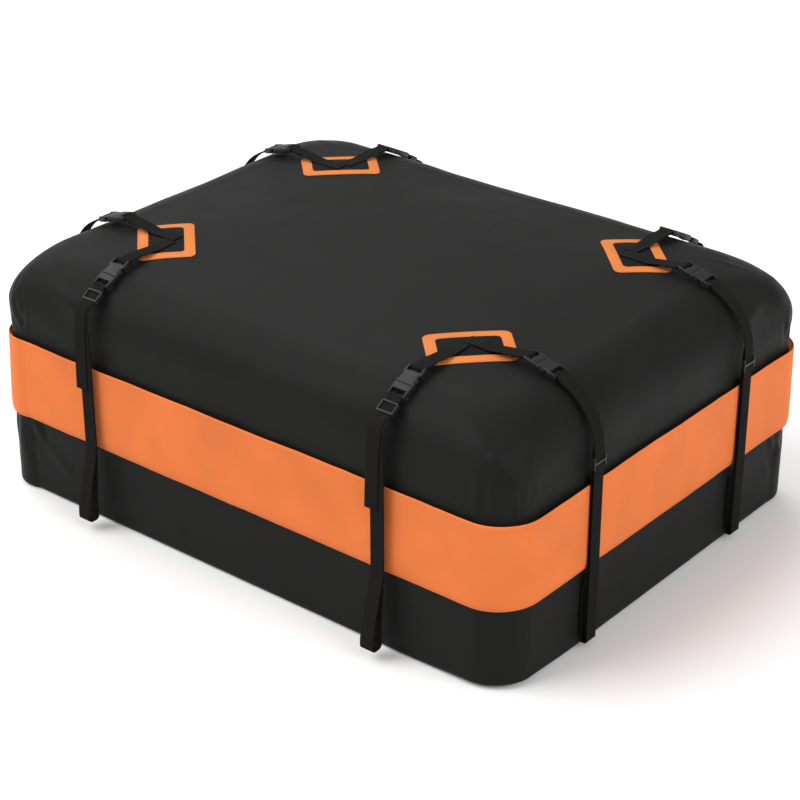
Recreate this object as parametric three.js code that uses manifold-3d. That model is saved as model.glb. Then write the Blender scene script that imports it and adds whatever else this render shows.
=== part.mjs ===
// Rooftop cargo bag of coated fabric, with a zip behind a flap and eight buckled webbing straps.
// Millimetres, +Z up. The long side runs along X and the base lies on z = 0.

import * as THREE from "three";
import { mergeVertices } from "three/addons/utils/BufferGeometryUtils.js";
import Module from "manifold-3d";

const wasm = await Module();
wasm.setup();

// Bag body
const BODY_LENGTH = 1083;
const BODY_WIDTH = 831;
const FABRIC = 2;
const BASE_EDGE_RADIUS = 10;
const WALL_CORNER_RADIUS = 62;
const TOP_CORNER_RADIUS = 100;
const WALL_TOP = 350;
const SHOULDER_WIDTH = 95;
const SHOULDER_RISE = 96;
const CROWN_RISE = 15;

// Gaps between pieces that touch
const SEAT_GAP = 0.3;
const FIT_GAP = 0.4;

// Zip and its flap
const ZIP_HEIGHT = 220;
const ZIP_TAPE_WIDTH = 15;
const ZIP_TAPE_THICKNESS = 0.8;
const COIL_WIDTH = 2.5;
const SHELL_RIM_FROM_ZIP = 4;
const FLAP_BOTTOM = 144;
const FLAP_TOP = 293;
const FLAP_STANDOFF = 8.5;
const FLAP_THICKNESS = 1.6;
const ZIP_SLIDER_LENGTH = 11;
const ZIP_PULL_LENGTH = 27;

// Anchor patches on the top
const PATCH_FROM_END_WALL = 218.5;
const PATCH_FROM_SIDE_WALL = 190.5;
const PATCH_LENGTH = 142;
const PATCH_WIDTH = 102;
const PATCH_BORDER = 22;
const PATCH_CORNER = 12;
const PAD_THICKNESS = 1.2;
const PATCH_THICKNESS = 1.4;

// Webbing
const WEBBING_WIDTH = 25;
const WEBBING = 1.4;
const SIDE_STRAP_FROM_PATCH = 11;
const END_STRAP_FROM_PATCH = 13;
const SIDE_STRAP_STANDOFF = 11.5;
const END_STRAP_STANDOFF = 7.5;
const END_LAYER_SPACING = 4.2;
const CONVERGE_LENGTH = 10;
const STUB_RETURN = 30;
const STUB_ROOT = 34.5;
const END_STUB_ROOT = 57;
const STRAP_RETURN = 26;
const SEWN_LENGTH = 31;
const SHOULDER_BEND = 22;
const SOFT_BEND = 60;
const TAIL_ABOVE_FLAP_MIDDLE = 38.5;
const TAIL_SHIFT = -10;

// Rail loops at the foot of the straps
const LOOP_HEIGHT = 40;
const SIDE_LOOP_BOTTOM = 18;
const SIDE_LOOP_BULGE = 38;
const SIDE_LOOP_BACK = 24.5;
const SIDE_LOOP_BEND = 7.5;
const END_LOOP_BOTTOM = 12;
const END_LOOP_BULGE = 7;
const END_LOOP_BACK = 3;
const END_LOOP_BEND = 3.5;

// Side-release buckles, long axis along the webbing
const BUCKLE_HALF_LENGTH = 31;
const BUCKLE_HALF_WIDTH = 17;
const BUCKLE_THICKNESS = 9.6;
const BUCKLE_SPLIT = 6;
const BAR_RADIUS = 2.2;
const BAR_FROM_END = 2.7;
const WEBBING_SLOT = 8;
const MOUTH_HALF_HEIGHT = 3.1;
const MOUTH_HALF_WIDTH = 14.6;
const MOUTH_DEPTH = 19.5;
const SIDE_BUCKLE_TILT = 27;
const SIDE_BUCKLE_INSET = 52.5;
const SIDE_BUCKLE_RISE = -2;
const END_BUCKLE_TILT = 14;
const END_BUCKLE_INSET = 88.5;
const END_BUCKLE_RISE = 12.5;

// Strap adjusters
const ADJUSTER_LENGTH = 21;
const ADJUSTER_WIDTH = 31;
const ADJUSTER_BAR = 2;
const SIDE_ADJUSTER_TILT = 32;
const SIDE_ADJUSTER_FROM_BAR = 23;
const ADJUSTER_TRAVEL_UP = 6;
const END_ADJUSTER_HEIGHT = 331;
const END_STRAP_TILT = 28;

// Sizes that follow from those above
const HALF_LENGTH = BODY_LENGTH / 2;
const HALF_WIDTH = BODY_WIDTH / 2;
const SHOULDER_TOP = WALL_TOP + SHOULDER_RISE;
const PATCH_X = HALF_LENGTH - PATCH_FROM_END_WALL;
const PATCH_Y = HALF_WIDTH - PATCH_FROM_SIDE_WALL;
const SIDE_STRAP_X = PATCH_X - SIDE_STRAP_FROM_PATCH;
const END_STRAP_Y = PATCH_Y - END_STRAP_FROM_PATCH;
const LAYER_STEP = WEBBING + SEAT_GAP;
const WRAP_RADIUS = BAR_RADIUS + SEAT_GAP + WEBBING / 2 + 0.05;
const BAR_AT = BUCKLE_HALF_LENGTH - BAR_FROM_END;
const SLOT_HALF_WIDTH = WEBBING_WIDTH / 2 + FIT_GAP;
const TAPE_OUT = SEAT_GAP + ZIP_TAPE_THICKNESS;
const COIL_OUT = TAPE_OUT + SEAT_GAP + COIL_WIDTH;
const FLAP_IN = FLAP_STANDOFF - FLAP_THICKNESS;

const CORNER_STEPS = 6;
const RADIANS = Math.PI / 180;

const COLOURS = {
  fabric: { color: 0x2c2d2f, roughness: 0.62, metalness: 0 },
  flap: { color: 0xe8743a, roughness: 0.6, metalness: 0 },
  patch: { color: 0xf58a45, roughness: 0.6, metalness: 0 },
  pad: { color: 0x1b1b1c, roughness: 0.7, metalness: 0 },
  webbing: { color: 0x1c1c1d, roughness: 0.85, metalness: 0 },
  plastic: { color: 0x2b2b2d, roughness: 0.5, metalness: 0 },
  zip: { color: 0x151516, roughness: 0.7, metalness: 0 },
  metal: { color: 0x6d6d70, roughness: 0.4, metalness: 0.8 },
};

const product = new THREE.Group();
product.name = "rooftop_cargo_bag";

function addNode(parent, name, geometry, look) {
  const mesh = new THREE.Mesh(geometry, new THREE.MeshStandardMaterial(COLOURS[look]));
  mesh.name = name;
  parent.add(mesh);
  return mesh;
}

// Solids and booleans

function geometryFrom(positions, indices) {
  const geometry = new THREE.BufferGeometry();
  geometry.setAttribute("position", new THREE.Float32BufferAttribute(positions, 3));
  geometry.setIndex(indices);
  geometry.computeVertexNormals();
  return geometry;
}

function toManifold(geometry) {
  const bare = geometry.clone();
  bare.deleteAttribute("normal");
  bare.deleteAttribute("uv");
  const merged = mergeVertices(bare, 1e-4);
  return new wasm.Manifold(new wasm.Mesh({
    numProp: 3,
    vertProperties: new Float32Array(merged.attributes.position.array),
    triVerts: new Uint32Array(merged.index.array),
  }));
}

function toGeometry(manifold) {
  const mesh = manifold.getMesh();
  return geometryFrom(Array.from(mesh.vertProperties), Array.from(mesh.triVerts));
}

function subtract(base, cutters) {
  return cutters.reduce((solid, cutter) => solid.subtract(toManifold(cutter)), base);
}

function add(base, extras) {
  return extras.reduce((solid, extra) => solid.add(toManifold(extra)), base);
}

function boxBetween(x0, x1, y0, y1, z0, z1) {
  const geometry = new THREE.BoxGeometry(x1 - x0, y1 - y0, z1 - z0);
  return geometry.translate((x0 + x1) / 2, (y0 + y1) / 2, (z0 + z1) / 2);
}

function plate(outline, thickness, bevel) {
  const shape = new THREE.Shape(outline.map(([x, y]) => new THREE.Vector2(x, y)));
  const geometry = new THREE.ExtrudeGeometry(shape, {
    depth: thickness - 2 * bevel,
    bevelEnabled: bevel > 0,
    bevelThickness: bevel,
    bevelSize: bevel,
    bevelOffset: -bevel,
    bevelSegments: 1,
    curveSegments: 4,
  });
  return geometry.translate(0, 0, bevel - thickness / 2);
}

function mirroredOutline(halfOutline) {
  const mirrored = halfOutline.map(([x, y]) => [x, -y]).reverse();
  return [...halfOutline, ...mirrored];
}

function roundedRectangle(length, width, radius) {
  const shape = new THREE.Shape();
  const a = length / 2;
  const b = width / 2;
  shape.moveTo(-a + radius, -b);
  shape.lineTo(a - radius, -b);
  shape.absarc(a - radius, -b + radius, radius, -Math.PI / 2, 0, false);
  shape.lineTo(a, b - radius);
  shape.absarc(a - radius, b - radius, radius, 0, Math.PI / 2, false);
  shape.lineTo(-a + radius, b);
  shape.absarc(-a + radius, b - radius, radius, Math.PI / 2, Math.PI, false);
  shape.lineTo(-a, -b + radius);
  shape.absarc(-a + radius, -b + radius, radius, Math.PI, 1.5 * Math.PI, false);
  return shape;
}

// Lofts through rounded rectangles, one for each station of the bag's profile

function ringPoints({ out, radius, z }) {
  const points = [];
  for (let corner = 0; corner < 4; corner += 1) {
    const signX = corner === 0 || corner === 3 ? 1 : -1;
    const signY = corner < 2 ? 1 : -1;
    const centreX = signX * (HALF_LENGTH + out - radius);
    const centreY = signY * (HALF_WIDTH + out - radius);
    for (let step = 0; step <= CORNER_STEPS; step += 1) {
      const angle = (corner + step / CORNER_STEPS) * Math.PI / 2;
      points.push([centreX + radius * Math.cos(angle), centreY + radius * Math.sin(angle), z]);
    }
  }
  return points;
}

function loft(stations, isRing) {
  const rings = stations.map(ringPoints);
  const count = rings[0].length;
  const positions = rings.flat(2);
  const indices = [];
  const spans = isRing ? rings.length : rings.length - 1;
  for (let i = 0; i < spans; i += 1) {
    const low = i * count;
    const high = ((i + 1) % rings.length) * count;
    for (let k = 0; k < count; k += 1) {
      const next = (k + 1) % count;
      indices.push(low + k, low + next, high + next, low + k, high + next, high + k);
    }
  }
  if (!isRing) {
    const last = (rings.length - 1) * count;
    const first = positions.length / 3;
    positions.push(0, 0, stations[0].z, 0, 0, stations[stations.length - 1].z);
    for (let k = 0; k < count; k += 1) {
      const next = (k + 1) % count;
      indices.push(first, next, k, first + 1, last + k, last + next);
    }
  }
  return geometryFrom(positions, indices);
}

// The profile runs from the base over the wall and the shoulder to the crown

function bodyProfile() {
  const stations = [];
  const baseSteps = 3;
  const shoulderSteps = 6;
  for (let i = 0; i <= baseSteps; i += 1) {
    const angle = (i / baseSteps) * Math.PI / 2;
    const inset = BASE_EDGE_RADIUS * (1 - Math.sin(angle));
    const z = BASE_EDGE_RADIUS * (1 - Math.cos(angle));
    stations.push({ out: -inset, z, radius: WALL_CORNER_RADIUS - inset });
  }
  for (let i = 0; i <= shoulderSteps; i += 1) {
    const angle = (i / shoulderSteps) * Math.PI / 2;
    const inset = SHOULDER_WIDTH * (1 - Math.cos(angle));
    const share = inset / SHOULDER_WIDTH;
    const radius = WALL_CORNER_RADIUS + share * (TOP_CORNER_RADIUS - WALL_CORNER_RADIUS);
    stations.push({ out: -inset, z: WALL_TOP + SHOULDER_RISE * Math.sin(angle), radius });
  }
  const crownSpan = HALF_WIDTH - SHOULDER_WIDTH;
  for (const share of [0.2, 0.38, 0.64, 0.9]) {
    const inset = SHOULDER_WIDTH + share * crownSpan;
    const rise = CROWN_RISE * (1 - (1 - share) ** 1.6);
    const radius = Math.min(TOP_CORNER_RADIUS, HALF_WIDTH - inset - 1);
    stations.push({ out: -inset, z: SHOULDER_TOP + rise, radius });
  }
  return stations;
}

function offsetProfile(distance) {
  const stations = bodyProfile();
  const top = stations[stations.length - 1];
  const line = [{ out: -HALF_WIDTH, z: 0 }, ...stations, { out: -HALF_WIDTH, z: top.z }];
  const normal = (a, b) => {
    const length = Math.hypot(b.out - a.out, b.z - a.z);
    return [(b.z - a.z) / length, (a.out - b.out) / length];
  };
  return stations.map((station, i) => {
    const before = normal(line[i], line[i + 1]);
    const after = normal(line[i + 1], line[i + 2]);
    const share = distance / (1 + before[0] * after[0] + before[1] * after[1]);
    const moved = share * (before[0] + after[0]);
    return {
      out: station.out + moved,
      z: station.z + share * (before[1] + after[1]),
      radius: Math.max(0.5, station.radius + moved),
    };
  });
}

// Height of the crown over a point, between the two stations that the point lies between

function crownHeight(x, y, distance) {
  const stations = offsetProfile(distance);
  const depthInside = ({ out, radius }) => {
    const dx = Math.abs(x) - (HALF_LENGTH + out - radius);
    const dy = Math.abs(y) - (HALF_WIDTH + out - radius);
    const corner = Math.hypot(Math.max(dx, 0), Math.max(dy, 0));
    return radius - corner - Math.min(Math.max(dx, dy), 0);
  };
  for (let i = stations.length - 1; i > 0; i -= 1) {
    const inside = depthInside(stations[i - 1]);
    const outside = depthInside(stations[i]);
    if (outside >= 0) {
      return stations[i].z;
    }
    if (inside >= 0) {
      const share = inside / (inside - outside);
      return stations[i - 1].z + share * (stations[i].z - stations[i - 1].z);
    }
  }
  return stations[0].z;
}

// Fabric shells, open towards each other at the zip

function wallStation(distance, z) {
  return { out: distance, radius: WALL_CORNER_RADIUS + distance, z };
}

const outerProfile = offsetProfile(0);
const innerProfile = offsetProfile(-FABRIC);
const lowerRim = ZIP_HEIGHT - SHELL_RIM_FROM_ZIP;
const upperRim = ZIP_HEIGHT + SHELL_RIM_FROM_ZIP;

addNode(product, "lower_shell", loft([
  ...outerProfile.filter((station) => station.z < lowerRim),
  wallStation(0, lowerRim),
  wallStation(-FABRIC, lowerRim),
  ...innerProfile.filter((station) => station.z < lowerRim).reverse(),
], false), "fabric");

addNode(product, "upper_shell", loft([
  ...innerProfile.filter((station) => station.z > upperRim).reverse(),
  wallStation(-FABRIC, upperRim),
  wallStation(0, upperRim),
  ...outerProfile.filter((station) => station.z > upperRim),
], false), "fabric");

// Zip tapes, coils and flap, swept round the wall

function wallRing(section) {
  return loft(section.map(([distance, z]) => wallStation(distance, z)), true);
}

function ringBetween(in0, out0, z0, z1) {
  return wallRing([[in0, z0], [out0, z0], [out0, z1], [in0, z1]]);
}

const tapeGap = SEAT_GAP / 2;
const coilIn = TAPE_OUT + SEAT_GAP;
addNode(product, "zip_tape_lower",
  ringBetween(SEAT_GAP, TAPE_OUT, ZIP_HEIGHT - ZIP_TAPE_WIDTH, ZIP_HEIGHT - tapeGap), "zip");
addNode(product, "zip_tape_upper",
  ringBetween(SEAT_GAP, TAPE_OUT, ZIP_HEIGHT + tapeGap, ZIP_HEIGHT + ZIP_TAPE_WIDTH), "zip");
addNode(product, "zip_coil_lower",
  ringBetween(coilIn, COIL_OUT, ZIP_HEIGHT - COIL_WIDTH - tapeGap, ZIP_HEIGHT - tapeGap), "zip");
addNode(product, "zip_coil_upper",
  ringBetween(coilIn, COIL_OUT, ZIP_HEIGHT + tapeGap, ZIP_HEIGHT + COIL_WIDTH + tapeGap), "zip");

addNode(product, "zip_flap_band", wallRing([
  [SEAT_GAP, FLAP_BOTTOM],
  [FLAP_STANDOFF * 0.4, FLAP_BOTTOM],
  [FLAP_STANDOFF * 0.62, FLAP_BOTTOM + 2],
  [FLAP_STANDOFF, FLAP_BOTTOM + 20],
  [FLAP_STANDOFF, FLAP_TOP - 4],
  [FLAP_STANDOFF - 0.9, FLAP_TOP],
  [FLAP_IN - 0.7, FLAP_TOP],
  [FLAP_IN - 2.5, FLAP_TOP - 6.5],
  [SEAT_GAP, FLAP_TOP - 9],
  [SEAT_GAP, FLAP_TOP - 19],
  [FLAP_IN - 2.5, FLAP_TOP - 16],
  [FLAP_IN, FLAP_TOP - 20],
  [FLAP_IN, FLAP_BOTTOM + 22],
  [FLAP_STANDOFF * 0.3, FLAP_BOTTOM + 10],
  [SEAT_GAP, FLAP_BOTTOM + 10],
]), "flap");

// Zip sliders with their pulls, at the middle of the rear wall inside the flap
// Slider coordinates: x along the zip, y up, z outward

const ZIP_CHANNEL = COIL_WIDTH + tapeGap + SEAT_GAP;
const ZIP_FLANGE = ZIP_CHANNEL + 2;
const ZIP_SLIDER_IN = TAPE_OUT + SEAT_GAP;
const ZIP_SLIDER_OUT = COIL_OUT + SEAT_GAP + 1.8;

function zipSlider(facing) {
  const half = ZIP_SLIDER_LENGTH / 2;
  const height = ZIP_SLIDER_OUT - ZIP_SLIDER_IN;
  const outline = [
    [-half, -ZIP_FLANGE * 0.85],
    [-half * 0.2, -ZIP_FLANGE],
    [half, -ZIP_FLANGE],
    [half, ZIP_FLANGE],
    [-half * 0.2, ZIP_FLANGE],
    [-half, ZIP_FLANGE * 0.85],
  ].map(([x, y]) => [x * facing, y]);
  const body = plate(facing > 0 ? outline : outline.reverse(), height, 0.4);
  body.translate(0, 0, ZIP_SLIDER_IN + height / 2);
  const shelf = ZIP_SLIDER_IN + 1.2;
  const bracket = boxBetween(-2.4, 2.4, -ZIP_FLANGE - 6.5, -ZIP_FLANGE + 1, ZIP_SLIDER_IN, shelf);
  const peg = boxBetween(-1.1, 1.1, -ZIP_FLANGE - 5.2, -ZIP_FLANGE - 3.2, shelf - 0.5, ZIP_SLIDER_OUT);
  const channel = boxBetween(-half - 1, half + 1, -ZIP_CHANNEL, ZIP_CHANNEL, 0, COIL_OUT + SEAT_GAP);
  return toGeometry(subtract(add(toManifold(body), [bracket, peg]), [channel]));
}

function zipPull() {
  const topEdge = -ZIP_FLANGE - SEAT_GAP;
  const foot = topEdge - ZIP_PULL_LENGTH;
  const inner = ZIP_SLIDER_IN + 1.2 + SEAT_GAP;
  const outline = [[-4, foot + 3], [-2, foot], [2, foot], [4, foot + 3], [3, topEdge], [-3, topEdge]];
  const tab = plate(outline, 1.6, 0.3).translate(0, 0, inner + 0.8);
  const eye = boxBetween(-1.5, 1.5, topEdge - 5.3, topEdge - 2.5, inner - 1, inner + 3);
  return toGeometry(subtract(toManifold(tab), [eye]));
}

for (const [side, sign] of [["left", -1], ["right", 1]]) {
  const place = new THREE.Group();
  place.name = `zip_slider_place_${side}`;
  place.position.set(sign * (ZIP_SLIDER_LENGTH / 2 + 1), HALF_WIDTH, ZIP_HEIGHT);
  place.rotation.set(Math.PI / 2, 0, Math.PI, "ZYX");
  product.add(place);
  addNode(place, `zip_slider_${side}`, zipSlider(sign), "metal");
  addNode(place, `zip_pull_${side}`, zipPull(), "zip");
}

// Anchor patches that follow the crown of the bag

function crownLayer(inner, outer) {
  const solid = (distance) => toManifold(loft(offsetProfile(distance), false));
  return solid(outer).subtract(solid(inner));
}

function crownPlate(shape, centreX, centreY, layer) {
  const turn = Math.sign(centreX) * Math.sign(centreY) > 0 ? -45 : 45;
  const depth = SHOULDER_RISE + 2 * CROWN_RISE;
  const prism = new THREE.ExtrudeGeometry(shape, { depth, bevelEnabled: false, curveSegments: 2 });
  prism.rotateZ(turn * RADIANS).translate(centreX, centreY, WALL_TOP);
  return toGeometry(toManifold(prism).intersect(layer));
}

const frameLayer = crownLayer(SEAT_GAP, SEAT_GAP + PATCH_THICKNESS);
const padLayer = crownLayer(SEAT_GAP, SEAT_GAP + PAD_THICKNESS);
const windowLength = PATCH_LENGTH - 2 * PATCH_BORDER;
const windowWidth = PATCH_WIDTH - 2 * PATCH_BORDER;
const frameShape = roundedRectangle(PATCH_LENGTH, PATCH_WIDTH, PATCH_CORNER);
frameShape.holes.push(roundedRectangle(windowLength, windowWidth, PATCH_CORNER - 4));
const padShape = roundedRectangle(
  windowLength - 2 * SEAT_GAP, windowWidth - 2 * SEAT_GAP, PATCH_CORNER - 4 - SEAT_GAP);

for (const [front, signY] of [["front", -1], ["rear", 1]]) {
  for (const [side, signX] of [["left", -1], ["right", 1]]) {
    const [x, y] = [signX * PATCH_X, signY * PATCH_Y];
    addNode(product, `patch_frame_${front}_${side}`, crownPlate(frameShape, x, y, frameLayer), "patch");
    addNode(product, `patch_pad_${front}_${side}`, crownPlate(padShape, x, y, padLayer), "pad");
  }
}

// Buckle halves: x along the webbing with the male bar at +x, y across, z outward

function webbingBar(x) {
  const bar = new THREE.CylinderGeometry(BAR_RADIUS, BAR_RADIUS, 2 * SLOT_HALF_WIDTH + 2, 10);
  return bar.translate(x, 0, 0);
}

function webbingEnd(solid, sign) {
  const inner = sign * (BAR_AT + BAR_RADIUS - WEBBING_SLOT - 2 * BAR_RADIUS);
  const outer = sign * (BUCKLE_HALF_LENGTH + 1);
  const [x0, x1] = [Math.min(inner, outer), Math.max(inner, outer)];
  const opening = boxBetween(x0, x1, -SLOT_HALF_WIDTH, SLOT_HALF_WIDTH, -10, 10);
  return add(subtract(solid, [opening]), [webbingBar(sign * BAR_AT)]);
}

function buckleFemale() {
  const outline = mirroredOutline([
    [BUCKLE_SPLIT, BUCKLE_HALF_WIDTH],
    [BUCKLE_SPLIT - 4.5, BUCKLE_HALF_WIDTH],
    [BUCKLE_SPLIT - 6.5, BUCKLE_HALF_WIDTH - 3],
    [-11, BUCKLE_HALF_WIDTH - 3],
    [-15, BUCKLE_HALF_WIDTH - 0.2],
    [-24, BUCKLE_HALF_WIDTH - 0.8],
    [-BUCKLE_HALF_LENGTH, BUCKLE_HALF_WIDTH - 1.8],
  ]).reverse();
  const housing = toManifold(plate(outline, BUCKLE_THICKNESS, 1));
  const [h, w] = [MOUTH_HALF_HEIGHT, MOUTH_HALF_WIDTH];
  const mouthEnd = BUCKLE_SPLIT - MOUTH_DEPTH;
  const mouth = boxBetween(mouthEnd, BUCKLE_SPLIT + 1, -w, w, -h, h);
  const sideWindows = boxBetween(mouthEnd + 1, BUCKLE_SPLIT - 6.5, -w - 5, w + 5, -h, h);
  return toGeometry(webbingEnd(subtract(housing, [mouth, sideWindows]), -1));
}

function buckleMale() {
  const foot = BUCKLE_SPLIT + FIT_GAP;
  const outline = mirroredOutline([
    [BUCKLE_HALF_LENGTH, BUCKLE_HALF_WIDTH - 1.8],
    [BUCKLE_HALF_LENGTH - 9, BUCKLE_HALF_WIDTH - 0.8],
    [foot + 3, BUCKLE_HALF_WIDTH],
    [foot, BUCKLE_HALF_WIDTH],
  ]).reverse();
  const base = toManifold(plate(outline, BUCKLE_THICKNESS, 1));
  const thickness = 2 * (MOUTH_HALF_HEIGHT - FIT_GAP);
  const shoulder = BUCKLE_SPLIT - 6.5 - FIT_GAP;
  const tip = BUCKLE_SPLIT - MOUTH_DEPTH + 1 + FIT_GAP;
  const outer = MOUTH_HALF_WIDTH - FIT_GAP;
  const prong = [
    [foot + 2, outer - 3.8],
    [foot + 2, outer],
    [shoulder, outer],
    [shoulder, BUCKLE_HALF_WIDTH - 0.7],
    [tip + 4, BUCKLE_HALF_WIDTH - 0.7],
    [tip, outer - 2],
    [tip, outer - 5],
    [shoulder, outer - 4.4],
  ];
  const guide = [[foot + 2, -2.2], [foot + 2, 2.2], [tip + 4, 2.2], [tip + 2, 0], [tip + 4, -2.2]];
  const lower = prong.map(([x, y]) => [x, -y]).reverse();
  const tongues = [prong, lower, guide].map((profile) => plate(profile, thickness, 0));
  return toGeometry(webbingEnd(add(base, tongues), 1));
}

// Strap adjuster: end bars on one face of the webbing and the middle bar on the other

function adjuster(stack, endBarsOutside) {
  const inner = stack / 2 + SEAT_GAP;
  const outer = inner + ADJUSTER_BAR;
  const shape = roundedRectangle(ADJUSTER_LENGTH, ADJUSTER_WIDTH, 3);
  const blank = new THREE.ExtrudeGeometry(shape, {
    depth: 2 * outer,
    bevelEnabled: false,
    curveSegments: 3,
  });
  blank.translate(0, 0, -outer);
  const [w, half] = [SLOT_HALF_WIDTH, ADJUSTER_LENGTH / 2];
  const endBar = 3;
  const s = endBarsOutside ? 1 : -1;
  const onSide = (side, x0, x1) => boxBetween(
    x0, x1, -w, w, side > 0 ? inner - 0.1 : -outer - 1, side > 0 ? outer + 1 : 0.1 - inner);
  return toGeometry(subtract(toManifold(blank), [
    boxBetween(-half - 1, half + 1, -w, w, -inner, inner),
    onSide(s, -half + endBar, half - endBar),
    onSide(-s, -half - 1, -2),
    onSide(-s, 2, half + 1),
  ]));
}

// Webbing paths in strap coordinates: u outward from the middle, v along the wall, z up

function filletPath(points) {
  const path = [];
  points.forEach(({ p, r = 0, v = 0 }, i) => {
    if (!r || i === 0 || i === points.length - 1) {
      path.push({ u: p[0], z: p[1], v });
      return;
    }
    const towards = (q) => {
      const length = Math.hypot(q[0] - p[0], q[1] - p[1]);
      return [(q[0] - p[0]) / length, (q[1] - p[1]) / length];
    };
    const back = towards(points[i - 1].p);
    const ahead = towards(points[i + 1].p);
    const turn = Math.PI - Math.acos(Math.max(-1, Math.min(1, back[0] * ahead[0] + back[1] * ahead[1])));
    const reach = r * Math.tan(turn / 2);
    const bisector = [back[0] + ahead[0], back[1] + ahead[1]];
    const scale = r / Math.cos(turn / 2) / Math.hypot(...bisector);
    const centre = [p[0] + bisector[0] * scale, p[1] + bisector[1] * scale];
    const start = [p[0] + back[0] * reach - centre[0], p[1] + back[1] * reach - centre[1]];
    const clockwise = back[0] * ahead[1] - back[1] * ahead[0] > 0 ? -1 : 1;
    const steps = Math.max(2, Math.ceil(turn / (24 * RADIANS)));
    for (let k = 0; k <= steps; k += 1) {
      const angle = clockwise * turn * k / steps;
      const u = centre[0] + start[0] * Math.cos(angle) - start[1] * Math.sin(angle);
      const z = centre[1] + start[0] * Math.sin(angle) + start[1] * Math.cos(angle);
      path.push({ u, z, v });
    }
  });
  return path.filter((q, i) => i === 0 || Math.hypot(q.u - path[i - 1].u, q.z - path[i - 1].z) > 0.02);
}

function ribbon(path) {
  const normals = path.map((point, i) => {
    const before = path[Math.max(i - 1, 0)];
    const here = path[i];
    const after = path[Math.min(i + 1, path.length - 1)];
    const side = (a, b) => {
      const length = Math.hypot(b.u - a.u, b.z - a.z) || 1;
      return [(a.z - b.z) / length, (b.u - a.u) / length];
    };
    const first = i === 0 ? side(here, after) : side(before, here);
    const second = i === path.length - 1 ? first : side(here, after);
    const share = 1 / (1 + first[0] * second[0] + first[1] * second[1]);
    return [(first[0] + second[0]) * share, (first[1] + second[1]) * share];
  });
  const positions = [];
  const indices = [];
  path.forEach(({ u, z, v }, i) => {
    const [nu, nz] = normals[i];
    for (const [across, through] of [[-1, -1], [1, -1], [1, 1], [-1, 1]]) {
      const lift = through * WEBBING / 2;
      positions.push(u + nu * lift, v + across * WEBBING_WIDTH / 2, z + nz * lift);
    }
  });
  for (let i = 0; i + 1 < path.length; i += 1) {
    for (let k = 0; k < 4; k += 1) {
      const a = i * 4 + k;
      const b = i * 4 + (k + 1) % 4;
      indices.push(a, b, b + 4, a, b + 4, a + 4);
    }
  }
  const end = (path.length - 1) * 4;
  indices.push(0, 2, 1, 0, 3, 2, end, end + 1, end + 2, end, end + 2, end + 3);
  return geometryFrom(positions, indices);
}

// Local frame along a tilted piece: x outward and down by the tilt, n at right angles to it

function tiltedFrame(origin, tilt) {
  const [c, s] = [Math.cos(tilt * RADIANS), Math.sin(tilt * RADIANS)];
  return (x, n) => [origin[0] + x * c + n * s, origin[1] - x * s + n * c];
}

// Wrap round a bar at a frame's origin, in on one face of the webbing's line and out on the other

function barWrap(frame, firstFace) {
  const r = WRAP_RADIUS;
  return [
    { p: frame(0, firstFace * r) },
    { p: frame(-r, firstFace * r), r },
    { p: frame(-r, -firstFace * r), r },
    { p: frame(0, -firstFace * r) },
  ];
}

// Side straps run over the long walls and end straps over the short ones

const SIDE_BUCKLE = [HALF_WIDTH - SIDE_BUCKLE_INSET, SHOULDER_TOP + SIDE_BUCKLE_RISE];
const END_BUCKLE = [HALF_LENGTH - END_BUCKLE_INSET, SHOULDER_TOP + END_BUCKLE_RISE];
const sideBuckleFrame = tiltedFrame(SIDE_BUCKLE, SIDE_BUCKLE_TILT);
const endBuckleFrame = tiltedFrame(END_BUCKLE, END_BUCKLE_TILT);
const adjusterFrame = tiltedFrame(sideBuckleFrame(BAR_AT, 0), SIDE_ADJUSTER_TILT);
const endStrapFrame = tiltedFrame(endBuckleFrame(BAR_AT, 0), END_STRAP_TILT);
const sideFront = HALF_WIDTH + FLAP_STANDOFF + SIDE_STRAP_STANDOFF;
const sideBack = sideFront - LAYER_STEP;
const endFront = HALF_LENGTH + FLAP_STANDOFF + END_STRAP_STANDOFF;
const endBack = endFront - END_LAYER_SPACING;
const halfStep = LAYER_STEP / 2;

// Corner where a line at height n of a tilted frame meets the upright line at u

function cornerAt(frame, n, u) {
  const [u0, z0] = frame(0, n);
  const [u1, z1] = frame(1, n);
  return [u, z0 + (z1 - z0) * (u - u0) / (u1 - u0)];
}

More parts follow.
